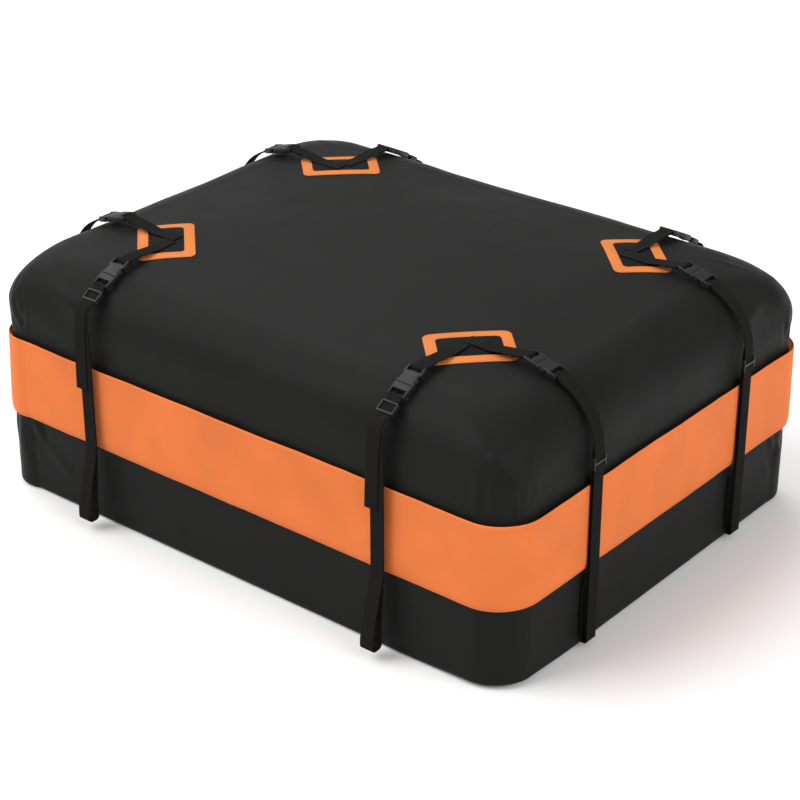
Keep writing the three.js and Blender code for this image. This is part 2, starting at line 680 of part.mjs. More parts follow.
function sideStrapPath() {
  const tailOut = sideFront + LAYER_STEP;
  const foot = HALF_WIDTH + FLAP_STANDOFF + SIDE_LOOP_BULGE;
  const back = HALF_WIDTH + SIDE_LOOP_BACK;
  const loopFloor = SIDE_LOOP_BOTTOM + WEBBING / 2;
  const tailEnd = (FLAP_BOTTOM + FLAP_TOP) / 2 + TAIL_ABOVE_FLAP_MIDDLE;
  const adjusterEnd = SIDE_ADJUSTER_FROM_BAR + ADJUSTER_LENGTH / 2 + 1.4 * ADJUSTER_TRAVEL_UP;
  return filletPath([
    { p: [sideBack, WALL_TOP + SEWN_LENGTH / 2] },
    { p: [sideBack, FLAP_BOTTOM], r: SOFT_BEND },
    { p: [back, 1.5 * LOOP_HEIGHT], r: SOFT_BEND },
    { p: [back, loopFloor], r: SIDE_LOOP_BEND },
    { p: [foot, loopFloor], r: SIDE_LOOP_BEND },
    { p: [foot, LOOP_HEIGHT], r: SOFT_BEND },
    { p: [sideFront, FLAP_BOTTOM], r: SOFT_BEND },
    { p: cornerAt(adjusterFrame, -halfStep, sideFront), r: SHOULDER_BEND },
    { p: adjusterFrame(CONVERGE_LENGTH, -halfStep) },
    ...barWrap(adjusterFrame, -1),
    { p: adjusterFrame(CONVERGE_LENGTH, halfStep) },
    { p: adjusterFrame(adjusterEnd, halfStep) },
    {
      p: cornerAt(adjusterFrame, halfStep, tailOut),
      r: SHOULDER_BEND + LAYER_STEP,
      v: TAIL_SHIFT * 0.3,
    },
    { p: [tailOut, WALL_TOP], v: TAIL_SHIFT * 0.7 },
    { p: [tailOut, tailEnd], v: TAIL_SHIFT },
  ]);
}

function endStrapPath() {
  const foot = HALF_LENGTH + FLAP_STANDOFF + END_LOOP_BULGE;
  const back = HALF_LENGTH + END_LOOP_BACK;
  const loopFloor = END_LOOP_BOTTOM + WEBBING / 2;
  const corner = cornerAt(endStrapFrame, halfStep, endFront);
  const straightTop = END_ADJUSTER_HEIGHT + ADJUSTER_LENGTH / 2 + ADJUSTER_TRAVEL_UP;
  const slantStart = endStrapFrame(CONVERGE_LENGTH, halfStep);
  const slantLength = Math.hypot(corner[0] - slantStart[0], corner[1] - slantStart[1]);
  const bendReach = Math.min(corner[1] - straightTop, slantLength);
  const bend = bendReach / Math.tan((90 - END_STRAP_TILT) * RADIANS / 2);
  return filletPath([
    { p: endStrapFrame(STRAP_RETURN, -halfStep) },
    { p: endStrapFrame(CONVERGE_LENGTH, -halfStep) },
    ...barWrap(endStrapFrame, -1),
    { p: slantStart },
    { p: corner, r: bend },
    { p: [endFront, FLAP_BOTTOM - LOOP_HEIGHT], r: SOFT_BEND },
    { p: [foot, LOOP_HEIGHT], r: SOFT_BEND },
    { p: [foot, loopFloor], r: END_LOOP_BEND },
    { p: [back, loopFloor], r: END_LOOP_BEND },
    { p: [back, FLAP_BOTTOM - LOOP_HEIGHT], r: SOFT_BEND },
    { p: [endBack, FLAP_BOTTOM], r: SOFT_BEND },
    { p: [endBack, straightTop + WEBBING], r: WRAP_RADIUS },
    { p: [endFront - 1.5 * LAYER_STEP, straightTop + SEWN_LENGTH / 2] },
  ]);
}

// Top webbing lies on the pad, rises over the shoulder and is sewn back on itself round the bar

function rootHeight(isSide, u) {
  const across = isSide ? SIDE_STRAP_X : END_STRAP_Y;
  const heights = [-0.5, 0, 0.5].map((share) => {
    const v = across + share * WEBBING_WIDTH;
    return isSide
      ? crownHeight(v, u, SEAT_GAP + PAD_THICKNESS)
      : crownHeight(u, v, SEAT_GAP + PAD_THICKNESS);
  });
  return Math.max(...heights) + SEAT_GAP + WEBBING / 2;
}

function topWebbingPath(isSide, from, lift, bow) {
  const bar = (isSide ? sideBuckleFrame : endBuckleFrame)(-BAR_AT, 0);
  const slope = Math.atan2(bar[1] - rootHeight(isSide, lift) - bow, bar[0] - lift);
  const back = (x, n) => [
    bar[0] - x * Math.cos(slope) - n * Math.sin(slope),
    bar[1] - x * Math.sin(slope) + n * Math.cos(slope),
  ];
  const middle = (from + lift) / 2;
  return filletPath([
    { p: [from, rootHeight(isSide, from)] },
    { p: [middle, rootHeight(isSide, middle)] },
    { p: [lift, rootHeight(isSide, lift)], r: SHOULDER_BEND },
    { p: back(STUB_RETURN + 2 * LAYER_STEP, halfStep), r: SOFT_BEND },
    { p: back(CONVERGE_LENGTH, halfStep) },
    ...barWrap(back, 1),
    { p: back(CONVERGE_LENGTH, -halfStep) },
    { p: back(STUB_RETURN, -halfStep) },
  ]);
}

const sideStrap = ribbon(sideStrapPath());
const endStrap = ribbon(endStrapPath());
const sideRoot = END_STRAP_Y + WEBBING_WIDTH / 2 + WEBBING;
const endRoot = SIDE_STRAP_X - WEBBING_WIDTH / 2;
const sideTop = ribbon(topWebbingPath(true, sideRoot, sideRoot + STUB_ROOT, 2.5 * LAYER_STEP));
const endTop = ribbon(topWebbingPath(false, endRoot, endRoot + END_STUB_ROOT, LAYER_STEP / 2));
const female = buckleFemale();
const male = buckleMale();
const sideAdjuster = adjuster(WEBBING + LAYER_STEP, true);
const endAdjuster = adjuster(WEBBING, false);

function placePiece(parent, name, geometry, look, at, across, tilt, turned) {
  const mesh = addNode(parent, name, geometry, look);
  mesh.position.set(at[0], across, at[1]);
  mesh.rotation.set(0, tilt * RADIANS, turned ? Math.PI : 0, "XYZ");
  return mesh;
}

function strapSet(name, turn, across, isSide) {
  const set = new THREE.Group();
  set.name = `strap_place_${name}`;
  set.rotation.z = turn * RADIANS;
  product.add(set);
  const buckleAt = isSide ? SIDE_BUCKLE : END_BUCKLE;
  const tilt = isSide ? SIDE_BUCKLE_TILT : END_BUCKLE_TILT;
  const adjusterAt = isSide ? adjusterFrame(SIDE_ADJUSTER_FROM_BAR, 0) : [endFront, END_ADJUSTER_HEIGHT];
  const top = addNode(set, `top_webbing_${name}`, isSide ? sideTop : endTop, "webbing");
  top.position.y = across;
  placePiece(set, `buckle_female_${name}`, female, "plastic", buckleAt, across, tilt, !isSide);
  placePiece(set, `buckle_male_${name}`, male, "plastic", buckleAt, across, tilt, !isSide);
  const adjusterShape = isSide ? sideAdjuster : endAdjuster;
  const adjusterTilt = isSide ? SIDE_ADJUSTER_TILT : 90;
  placePiece(set, `strap_adjuster_${name}`, adjusterShape, "plastic", adjusterAt, across, adjusterTilt, false);
  const strap = addNode(set, `side_strap_${name}`, isSide ? sideStrap : endStrap, "webbing");
  strap.position.y = across;
}

strapSet("front_left", -90, -SIDE_STRAP_X, true);
strapSet("front_right", -90, SIDE_STRAP_X, true);
strapSet("rear_left", 90, SIDE_STRAP_X, true);
strapSet("rear_right", 90, -SIDE_STRAP_X, true);
strapSet("right_front", 0, -END_STRAP_Y, false);
strapSet("right_rear", 0, END_STRAP_Y, false);
strapSet("left_front", 180, END_STRAP_Y, false);
strapSet("left_rear", 180, -END_STRAP_Y, false);

export default product;
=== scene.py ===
"""Soft rooftop cargo bag: sewn shells, flap band, anchor patches, buckled webbing and its studio."""

import math

import bpy
import numpy as np
from mathutils import Matrix, Vector


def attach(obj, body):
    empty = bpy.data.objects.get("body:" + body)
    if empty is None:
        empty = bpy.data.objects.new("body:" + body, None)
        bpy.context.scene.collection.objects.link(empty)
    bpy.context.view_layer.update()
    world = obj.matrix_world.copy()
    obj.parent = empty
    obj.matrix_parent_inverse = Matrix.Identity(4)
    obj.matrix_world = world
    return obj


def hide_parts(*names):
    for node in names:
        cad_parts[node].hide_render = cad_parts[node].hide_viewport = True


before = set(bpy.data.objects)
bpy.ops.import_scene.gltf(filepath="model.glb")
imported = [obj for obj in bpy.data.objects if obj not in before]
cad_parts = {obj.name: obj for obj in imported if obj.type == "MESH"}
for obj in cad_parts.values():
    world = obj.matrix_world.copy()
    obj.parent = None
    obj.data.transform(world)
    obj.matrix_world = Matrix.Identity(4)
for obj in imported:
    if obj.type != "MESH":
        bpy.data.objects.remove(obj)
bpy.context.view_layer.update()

bl_info = {
    "name": "Rooftop Cargo Bag",
    "version": (1, 0, 0),
    "blender": (4, 5, 0),
    "location": "3D View > Sidebar > Cargo Bag",
    "description": "Builds a soft rooftop cargo bag over its solid model",
    "category": "Object",
}

# One entry for each strap set: its name, the turn of its wall, its place along the wall, long wall or not
STRAP_SETS = (
    ("front_left", -90, -0.312, True),
    ("front_right", -90, 0.312, True),
    ("rear_left", 90, 0.312, True),
    ("rear_right", 90, -0.312, True),
    ("right_front", 0, -0.212, False),
    ("right_rear", 0, 0.212, False),
    ("left_front", 180, 0.212, False),
    ("left_rear", 180, -0.212, False),
)
# One entry for each patch: its row and that row's sign in Y, its column and that column's sign in X
PATCHES = (
    ("front", -1, "left", -1),
    ("front", -1, "right", 1),
    ("rear", 1, "left", -1),
    ("rear", 1, "right", 1),
)

# Webbing runs, in metres
BAR_AT = 0.0283  # from a buckle's middle to the bar of either half
CONVERGE = 0.01  # where the two layers round a bar are apart by a whole step
SEWN_BACK = 0.03  # how far the short webbing returns under itself
FLAP_BOTTOM = 0.144
LOOP_TOP = 0.04
SOFT_BEND = 0.06
SHOULDER_BEND = 0.022

# Distance from stitch to stitch, and the thread's width
FLAP_PITCH = 0.0036
PATCH_PITCH = 0.0034
BOX_PITCH = 0.0026
THREAD_WIDTH = 0.0006

MERGE_GAP = 1e-6


# Settings that a user would change


def length(name, default, description):
    return bpy.props.FloatProperty(
        name=name, description=description, default=default, min=0.0, unit="LENGTH", precision=4
    )


def tint(name, default, description):
    return bpy.props.FloatVectorProperty(
        name=name, description=description, default=default, size=3, min=0.0, max=1.0, subtype="COLOR"
    )


def part_of_bag(settings, name, description):
    return bpy.props.PointerProperty(type=settings, name=name, description=description)


def amount(name, default, description):
    return bpy.props.FloatProperty(name=name, description=description, default=default, min=0)


def turn_of(name, degrees, description):
    return bpy.props.FloatProperty(
        name=name, description=description, default=math.radians(degrees), subtype="ANGLE"
    )


class BodySettings(bpy.types.PropertyGroup):
    long_side: length("Long Side", 1.083, "Length of the bag's body")
    short_side: length("Short Side", 0.831, "Width of the bag's body")
    fabric: length("Fabric", 0.002, "Thickness of the coated fabric")
    base_edge: length("Base Edge", 0.01, "Radius of the edge round the base")
    wall_corner: length("Wall Corner", 0.062, "Radius of the upright corners")
    crown_corner: length("Crown Corner", 0.1, "Radius of the corners at the top of the shoulder")
    wall_top: length("Wall Top", 0.35, "Height where the wall turns into the shoulder")
    shoulder_width: length("Shoulder Width", 0.095, "Reach of the shoulder inwards")
    shoulder_rise: length("Shoulder Rise", 0.096, "Height of the shoulder")
    crown_rise: length("Crown Rise", 0.015, "Rise of the crown above the shoulder")
    zip_height: length("Zip Height", 0.22, "Height of the zip that parts the two shells")
    rim_gap: length("Rim Gap", 0.004, "Distance of each shell's rim from the zip line")
    colour: tint("Fabric Colour", (0.0137, 0.0137, 0.0133), "Colour of the coated fabric")


class BandSettings(bpy.types.PropertyGroup):
    bottom: length("Bottom", 0.144, "Height of the band's lower edge")
    top: length("Top", 0.293, "Height of the band's upper edge")
    standoff: length("Standoff", 0.0085, "Distance of the band's face from the wall")
    colour: tint("Band Colour", (0.84, 0.206, 0.053), "Colour of the flap band")


class PatchSettings(bpy.types.PropertyGroup):
    from_end: length("From End Wall", 0.2185, "Distance of the patch's centre from the end wall")
    from_side: length("From Side Wall", 0.1905, "Distance of the patch's centre from the side wall")
    long_side: length("Long Side", 0.139, "Length of the patch")
    short_side: length("Short Side", 0.097, "Width of the patch")
    border: length("Border", 0.0185, "Width of the patch's frame")
    corner: length("Corner", 0.012, "Radius of the patch's corners")
    colour: tint("Patch Colour", (0.66, 0.19, 0.038), "Colour of the patch's frame")
    pad_colour: tint("Pad Colour", (0.005, 0.005, 0.005), "Colour of the field inside the frame")


class WebbingSettings(bpy.types.PropertyGroup):
    width: length("Width", 0.025, "Width of the webbing")
    thickness: length("Thickness", 0.0014, "Thickness of the webbing")
    step: length("Layer Step", 0.0017, "Distance between the middles of two layers that touch")
    wrap: length("Wrap Radius", 0.00325, "Radius of the webbing's middle round a bar")
    colour: tint("Webbing Colour", (0.0125, 0.012, 0.0115), "Colour of the webbing")
    thread: tint("Thread Colour", (0.02, 0.02, 0.021), "Colour of the sewing thread")


class HardwareSettings(bpy.types.PropertyGroup):
    round_off: length("Edge Rounding", 0.00055, "Rounding of the moulded edges")
    colour: tint("Plastic Colour", (0.012, 0.012, 0.012), "Colour of buckles and adjusters")
    metal: tint("Slider Colour", (0.16, 0.16, 0.168), "Colour of the zip sliders")
    zip_colour: tint("Zip Colour", (0.01, 0.01, 0.0105), "Colour of the zip's tape and coil")


class StageSettings(bpy.types.PropertyGroup):
    azimuth: turn_of("Azimuth", 39.24, "Camera's turn round the bag")
    elevation: turn_of("Elevation", 27.31, "Camera's height above the horizon")
    lens: bpy.props.FloatProperty(name="Lens", description="Focal length", default=98.74, unit="CAMERA")
    place: bpy.props.FloatVectorProperty(
        name="Camera Place",
        description="Camera's place",
        default=(2.13726, -2.61489, 1.91074),
        subtype="TRANSLATION",
    )
    daylight: amount("Room Light", 0.42, "Even light from all round")
    key: amount("Key", 2.15, "Strength of the broad light at the upper left")
    upper: amount("Upper", 1.1, "Strength of the broad light at the far left")
    fill: amount("Fill", 1.6, "Strength of the broad light at the right")


class CargoBagSettings(bpy.types.PropertyGroup):
    body: part_of_bag(BodySettings, "Body", "Sewn shells")
    band: part_of_bag(BandSettings, "Band", "Flap over the zip")
    patch: part_of_bag(PatchSettings, "Patches", "Anchor patches")
    webbing: part_of_bag(WebbingSettings, "Webbing", "Straps")
    hardware: part_of_bag(HardwareSettings, "Hardware", "Buckles, adjusters, zip")
    stage: part_of_bag(StageSettings, "Stage", "Camera and light")


# Form of the bag's body


def turned(angle, x, y):
    """Turns places in the plan about the origin."""
    c, s = math.cos(angle), math.sin(angle)
    return x * c - y * s, x * s + y * c


def on_side(side, p, q):
    """Turns places along and out from one of the four sides into the plan."""
    turn = side * math.pi / 2
    return np.cos(turn) * p + np.sin(turn) * q, np.sin(turn) * p - np.cos(turn) * q


class BagForm:
    """The outer face of the body: rounded rectangles that shrink over the shoulder and the crown."""

    def __init__(self, sizes):
        self.half_x = sizes.long_side / 2
        self.half_y = sizes.short_side / 2
        self.sizes = sizes

    def shoulder(self, angle):
        s = self.sizes
        inset = s.shoulder_width * (1 - np.cos(angle))
        radius = s.wall_corner + inset / s.shoulder_width * (s.crown_corner - s.wall_corner)
        return inset, s.wall_top + s.shoulder_rise * np.sin(angle), radius

    def crown(self, share):
        s = self.sizes
        inset = s.shoulder_width + share * (self.half_y - s.shoulder_width)
        rise = s.crown_rise * (1 - (1 - share) ** 1.6)
        return inset, s.wall_top + s.shoulder_rise + rise, np.minimum(s.crown_corner, self.half_y - inset)

    def base_edge(self, angle):
        s = self.sizes
        inset = s.base_edge * (1 - np.sin(angle))
        return inset, s.base_edge * (1 - np.cos(angle)), s.wall_corner - inset

    def around(self, side, along, inset, radius):
        """Points of a ring; along runs from -1 to 1 between the middles of a side's two corners."""
        long_wall = side % 2 == 0
        reach = np.where(long_wall, self.half_x, self.half_y) - inset
        depth = np.where(long_wall, self.half_y, self.half_x) - inset
        straight = reach - radius
        run = along * (straight + radius * math.pi / 4)
        bend = np.maximum(np.abs(run) - straight, 0) / np.maximum(radius, 1e-6)
        p = np.where(bend > 0, np.sign(run) * (straight + radius * np.sin(bend)), run)
        q = depth - radius + radius * np.cos(bend)
        return on_side(side, p, q)

    def wall_line(self, share):
        """Points and outward directions round the wall, for shares from 0 to 1 of its way round."""
        r = self.sizes.wall_corner
        runs = []
        for side in range(4):
            reach = (self.half_x if side % 2 == 0 else self.half_y) - r
            runs += [("wall", side, 2 * reach), ("corner", side, r * math.pi / 2)]
        ends = np.cumsum([run[2] for run in runs])
        travelled = np.mod(share, 1.0) * ends[-1]
        points = np.zeros((len(travelled), 2))
        facing = np.zeros((len(travelled), 2))
        for (kind, side, run), end in zip(runs, ends):
            here = (travelled >= end - run) & (travelled < end)
            t = (travelled[here] - end + run) / run
            reach = (self.half_x if side % 2 == 0 else self.half_y) - r
            depth = (self.half_y if side % 2 == 0 else self.half_x) - r
            bend = t * math.pi / 2 if kind == "corner" else 0 * t
            p = np.full(len(t), reach) if kind == "corner" else (2 * t - 1) * reach
            out_p, out_q = np.sin(bend), np.cos(bend)
            p, q = p + r * out_p, depth + r * out_q
            points[here] = np.stack(on_side(side, p, q), 1)
            facing[here] = np.stack(on_side(side, out_p, out_q), 1)
        return points, facing

    def crown_height(self, x, y):
        """Height of the upper face over points of the plan."""
        low = np.zeros(np.shape(x))
        high = np.full(np.shape(x), self.half_y)
        for _ in range(40):
            inset = (low + high) / 2
            radius = self.radius_at(inset)
            dx = np.abs(x) - (self.half_x - inset - radius)
            dy = np.abs(y) - (self.half_y - inset - radius)
            beyond = np.hypot(np.maximum(dx, 0), np.maximum(dy, 0)) + np.minimum(np.maximum(dx, dy), 0)
            inside = beyond < radius
            low, high = np.where(inside, inset, low), np.where(inside, high, inset)
        s = self.sizes
        angle = np.arccos(np.clip(1 - low / s.shoulder_width, 0, 1))
        share = np.clip((low - s.shoulder_width) / (self.half_y - s.shoulder_width), 0, 1)
        return np.where(low < s.shoulder_width, self.shoulder(angle)[1], self.crown(share)[1])

    def radius_at(self, inset):
        s = self.sizes
        share = np.clip(inset / s.shoulder_width, 0, 1)
        radius = s.wall_corner + share * (s.crown_corner - s.wall_corner)
        return np.minimum(radius, self.half_y - inset)


# Slack of the cloth: waves, puckers and folds


def waves(points, seed, shortest, longest, count=18):
    rng = np.random.default_rng(seed)
    total = np.zeros(len(points))
    for _ in range(count):
        direction = rng.normal(size=3)
        direction /= np.linalg.norm(direction)
        size = shortest * (longest / shortest) ** rng.random()
        shift = rng.random() * 2 * math.pi
        total += size / longest * np.sin(points @ direction * (2 * math.pi / size) + shift)
    return total / math.sqrt(count / 2)


def fold(points, start, end, width, depth):
    """Valley from start to end with a lower ridge on both sides, faded towards its ends."""
    start, end = np.array(start), np.array(end)
    run = end - start
    t = (points - start) @ run / (run @ run)
    away = np.linalg.norm(points - start - np.clip(t, 0, 1)[:, None] * run, axis=1)
    fade = np.sin(np.clip(t, 0, 1) * math.pi) ** 0.6 * (away < 5 * width)
    ridge = 0.45 * np.exp(-(((away - 1.9 * width) / width) ** 2))
    return fade * depth * (ridge - np.exp(-((away / width) ** 2)))


def corner_point(form, corner, angle, z):
    """Point on an upright corner; angle is from its middle, in degrees."""
    sign_x, sign_y = ((1, -1), (1, 1), (-1, 1), (-1, -1))[corner]
    r = form.sizes.wall_corner
    turn = math.radians(angle + 45)
    inset = 0.0
    if z > form.sizes.wall_top:
        up = math.asin(min(1.0, (z - form.sizes.wall_top) / form.sizes.shoulder_rise))
        inset = float(form.shoulder(np.array(up))[0])
    x = form.half_x - r + (r - inset) * math.sin(turn)
    y = form.half_y - r + (r - inset) * math.cos(turn)
    return (sign_x * x, sign_y * y, z)


def corner_folds(form):
    """Puckers at the four corners above and below the band, as start, end, width and depth."""
    rng = np.random.default_rng(41)
    folds = []
    for corner in range(4):
        for angle in np.linspace(-42, 42, 9):
            lean = rng.uniform(-10, 10)
            at = angle + rng.uniform(-4, 4)
            foot, head = rng.uniform(0.285, 0.3), rng.uniform(0.325, 0.395)
            width, depth = rng.uniform(0.0035, 0.007), rng.uniform(0.0008, 0.0024)
            folds.append((corner, at, at + lean, foot, head, width, depth))
        for angle in np.linspace(-38, 38, 6):
            lean = rng.uniform(-14, 14)
            at = angle + rng.uniform(-5, 5)
            foot, head = rng.uniform(0.05, 0.1), rng.uniform(0.145, 0.16)
            depth = rng.uniform(0.0008, 0.002) * (0.15 if corner == 0 else 1)
            folds.append((corner, at, at + lean, head, foot, rng.uniform(0.005, 0.009), depth))
    return [
        (corner_point(form, corner, at, low), corner_point(form, corner, to, high), width, depth)
        for corner, at, to, low, high, width, depth in folds
    ]


def placed_folds(form):
    """Larger folds where the cloth is gathered, as start, end, width and depth; below 0 is a ridge."""
    shoulder = [
        ((-0.5, -0.37, 0.405), (-0.345, -0.407, 0.388), 0.011, -0.0034),
        ((-0.49, -0.39, 0.372), (-0.34, -0.414, 0.352), 0.016, 0.0032),
        ((0.532, 0.235, 0.392), (0.49, 0.385, 0.404), 0.011, -0.0034),
        ((0.54, 0.24, 0.358), (0.515, 0.385, 0.366), 0.016, 0.0032),
        ((0.36, 0.285, 0.449), (0.47, 0.325, 0.44), 0.007, -0.002),
        ((0.492, -0.402, 0.392), (0.512, -0.386, 0.392), 0.012, -0.003),
        ((0.484, -0.401, 0.366), (0.521, -0.386, 0.364), 0.007, 0.002),
        ((0.519, -0.378, 0.372), (0.531, -0.389, 0.292), 0.005, 0.0034),
        ((-0.36, 0.29, 0.448), (-0.47, 0.33, 0.438), 0.008, -0.002),
        ((0.2, 0.405, 0.39), (0.05, 0.41, 0.378), 0.012, 0.002),
    ]
    walls = [
        ((0.5415, 0.335, 0.138), (0.5415, 0.352, 0.108), 0.006, -0.0028),
        ((0.5415, 0.352, 0.13), (0.539, 0.375, 0.082), 0.006, -0.0028),
        ((0.5415, 0.33, 0.115), (0.5415, 0.36, 0.06), 0.009, 0.002),
        ((-0.482, -0.407, 0.142), (-0.458, -0.4155, 0.112), 0.009, -0.0032),
        ((-0.466, -0.4145, 0.142), (-0.442, -0.4155, 0.106), 0.007, 0.0028),
        ((-0.5, -0.4, 0.13), (-0.478, -0.409, 0.045), 0.009, 0.0024),
        ((-0.45, -0.4155, 0.1), (-0.39, -0.4155, 0.06), 0.012, -0.0016),
    ]
    tucks = [
        (corner_point(form, 3, 2, 0.392), corner_point(form, 3, -30, 0.3), 0.0055, 0.0028),
        (corner_point(form, 3, -10, 0.4), corner_point(form, 3, -42, 0.32), 0.0055, 0.0024),
        (corner_point(form, 1, 0, 0.4), corner_point(form, 1, 34, 0.31), 0.006, 0.0026),
        (corner_point(form, 2, 10, 0.4), corner_point(form, 2, -24, 0.31), 0.006, 0.0026),
    ]
    return shoulder + walls + tucks


def fullness(form, points):
    """Shift in the plan at the upright corners, which the load pushes beyond their plain rounding."""
    r = form.sizes.wall_corner
    x, y, z = points.T
    dx, dy = np.abs(x) - (form.half_x - r), np.abs(y) - (form.half_y - r)
    reach = np.maximum(np.hypot(dx, dy), 1e-6)
    push = np.where((dx > 0) & (dy > 0), (dx + dy) / reach - 1, 0) * np.minimum(reach / r, 1)
    number = np.where(y < 0, np.where(x > 0, 0, 3), np.where(x > 0, 1, 2))
    lower = 1.45 - 0.9 * smooth(z, 0.04, 0.34)
    share = push * np.array([-0.007, 0.009, 0.014, 0.022])[number] / reach * lower
    return np.stack([np.sign(x) * dx * share, np.sign(y) * dy * share], 1)


def lifted_corner(form, points):
    """How far the near corner of the base rises off the floor."""
    r = form.sizes.wall_corner
    away = np.hypot(points[:, 0] - form.half_x + 0.3 * r, points[:, 1] + form.half_y - 0.3 * r)
    return 0.005 * (1 - smooth(away, 0.02, 0.17)) * (1 - smooth(points[:, 2], 0, 0.06))


def patch_bulge(form, points):
    """Swell of the crown along the middle line of each patch."""
    s = bpy.context.scene.cargo_bag.patch
    total = np.zeros(len(points))
    for _, sign_y, _, sign_x in PATCHES:
        dx = points[:, 0] - sign_x * (form.half_x - s.from_end)
        dy = points[:, 1] - sign_y * (form.half_y - s.from_side)
        turn = -1 if sign_x * sign_y > 0 else 1
        along, across = (dx + turn * dy) * math.sqrt(0.5), (dy - turn * dx) * math.sqrt(0.5)
        total += 0.0035 * np.exp(-((across / 0.04) ** 2) - (along / 0.07) ** 4)
    return total * (points[:, 2] > 0.3)


def slack(form, points):
    """How far the cloth stands out from its plain form at each point."""
    total = 0.0011 * waves(points, 3, 0.12, 0.4) + 0.0002 * waves(points, 4, 0.04, 0.09, 14)
    for start, end, width, depth in corner_folds(form) + placed_folds(form):
        total += fold(points, start, end, width, depth)
    return total * free_share(form, points) + patch_bulge(form, points)


def free_share(form, points):
    """1 where the cloth is free, falling to a little where hardware or sewing holds it."""
    share = np.ones(len(points))
    s = bpy.context.scene.cargo_bag.patch
    for _, sign_y, _, sign_x in PATCHES:
        centre = np.array([sign_x * (form.half_x - s.from_end), sign_y * (form.half_y - s.from_side)])
        away = np.linalg.norm(points[:, :2] - centre, axis=1)
        share = np.minimum(share, np.where(points[:, 2] > 0.4, 0.15 + 0.85 * smooth(away, 0.1, 0.19), 1))
    band = np.exp(-(((points[:, 2] - 0.22) / 0.06) ** 4))
    return share * (1 - 0.7 * band) * smooth(points[:, 2], 0.0, 0.03)


def smooth(value, low, high):
    t = np.clip((value - low) / (high - low), 0, 1)
    return t * t * (3 - 2 * t)


# Mesh helpers


def deselect():
    if bpy.context.object and bpy.context.object.mode != "OBJECT":
        bpy.ops.object.mode_set(mode="OBJECT")
    bpy.ops.object.select_all(action="DESELECT")


def activate(piece):
    """Makes a piece the only one selected and the active one."""
    deselect()
    piece.select_set(True)
    bpy.context.view_layer.objects.active = piece


def new_piece(name):
    piece = bpy.context.active_object
    piece.name = piece.data.name = name
    return piece


def coordinates(piece):
    flat = np.zeros(len(piece.data.vertices) * 3)
    piece.data.vertices.foreach_get("co", flat)
    return flat.reshape(-1, 3)


def normals(piece):
    flat = np.zeros(len(piece.data.vertices) * 3)
    piece.data.vertex_normals.foreach_get("vector", flat)
    return flat.reshape(-1, 3)


def place(piece, points):
    piece.data.vertices.foreach_set("co", np.ascontiguousarray(points, dtype=np.float32).ravel())
    piece.data.update()


def write_uv(piece, of_vertex):
    """Writes each corner's UV from an array that holds one UV for each vertex."""
    layer = piece.data.uv_layers.active or piece.data.uv_layers.new(name="UVMap")
    index = np.zeros(len(piece.data.loops), dtype=np.int64)
    piece.data.loops.foreach_get("vertex_index", index)
    layer.data.foreach_set("uv", of_vertex[index].astype(np.float32).ravel())


def face_data(piece):
    """Centres of the faces, and for each loop its vertex and its face."""
    mesh = piece.data
    centres = np.zeros(len(mesh.polygons) * 3)
    mesh.polygons.foreach_get("center", centres)
    sizes = np.zeros(len(mesh.polygons), dtype=np.int64)
    mesh.polygons.foreach_get("loop_total", sizes)
    index = np.zeros(len(mesh.loops), dtype=np.int64)
    mesh.loops.foreach_get("vertex_index", index)
    return centres.reshape(-1, 3), index, np.repeat(np.arange(len(sizes)), sizes)


def modify(piece, kind, **settings):
    """Adds a modifier, sets it and applies it."""
    activate(piece)
    modifier = piece.modifiers.new(kind.title(), kind)
    for key, value in settings.items():
        setattr(modifier, key, value)
    bpy.ops.object.modifier_apply(modifier=modifier.name)


def smooth_faces(piece, angle=None):
    activate(piece)
    if angle is None:
        bpy.ops.object.shade_smooth()
    else:
        bpy.ops.object.shade_smooth_by_angle(angle=math.radians(angle))


def edit_whole(piece, *steps):
    """Runs mesh operators on all of a piece; each step is an operator and its settings."""
    activate(piece)
    bpy.ops.object.mode_set(mode="EDIT")
    bpy.ops.mesh.select_all(action="SELECT")
    for operator, settings in steps:
        operator(**settings)
    bpy.ops.object.mode_set(mode="OBJECT")


def merge_seams(piece):
    edit_whole(piece, (bpy.ops.mesh.remove_doubles, {"threshold": MERGE_GAP}))


def face_outwards(piece):
    edit_whole(piece, (bpy.ops.mesh.normals_make_consistent, {"inside": False}))


def copy_of(piece, name):
    twin = bpy.data.objects.new(name, piece.data.copy())
    twin.data.name = name
    bpy.context.scene.collection.objects.link(twin)
    return twin


def numbered_grid(name, columns, rows):
    """A new grid, its flat coordinates, and the column and row of each vertex."""
    deselect()
    bpy.ops.mesh.primitive_grid_add(x_subdivisions=columns, y_subdivisions=rows, size=1)
    piece = new_piece(name)
    flat = coordinates(piece)
    column, row = np.rint((flat[:, :2] + 0.5) * [columns, rows]).astype(int).T
    return piece, flat, column, row


def dress(piece, material, body, slot, *nodes):
    """Gives a finished piece its material and its body, and hides the solid nodes that it stands for; the
    slot is not used.
    """
    piece.data.materials.clear()
    piece.data.materials.append(material)
    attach(piece, body)
    if nodes:
        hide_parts(*nodes)
    return piece


# Node helpers and shared effects


def socket(group, name, kind, is_input=True, default=None):
    made = group.interface.new_socket(name=name, in_out="INPUT" if is_input else "OUTPUT", socket_type=kind)
    if default is not None:
        made.default_value = default


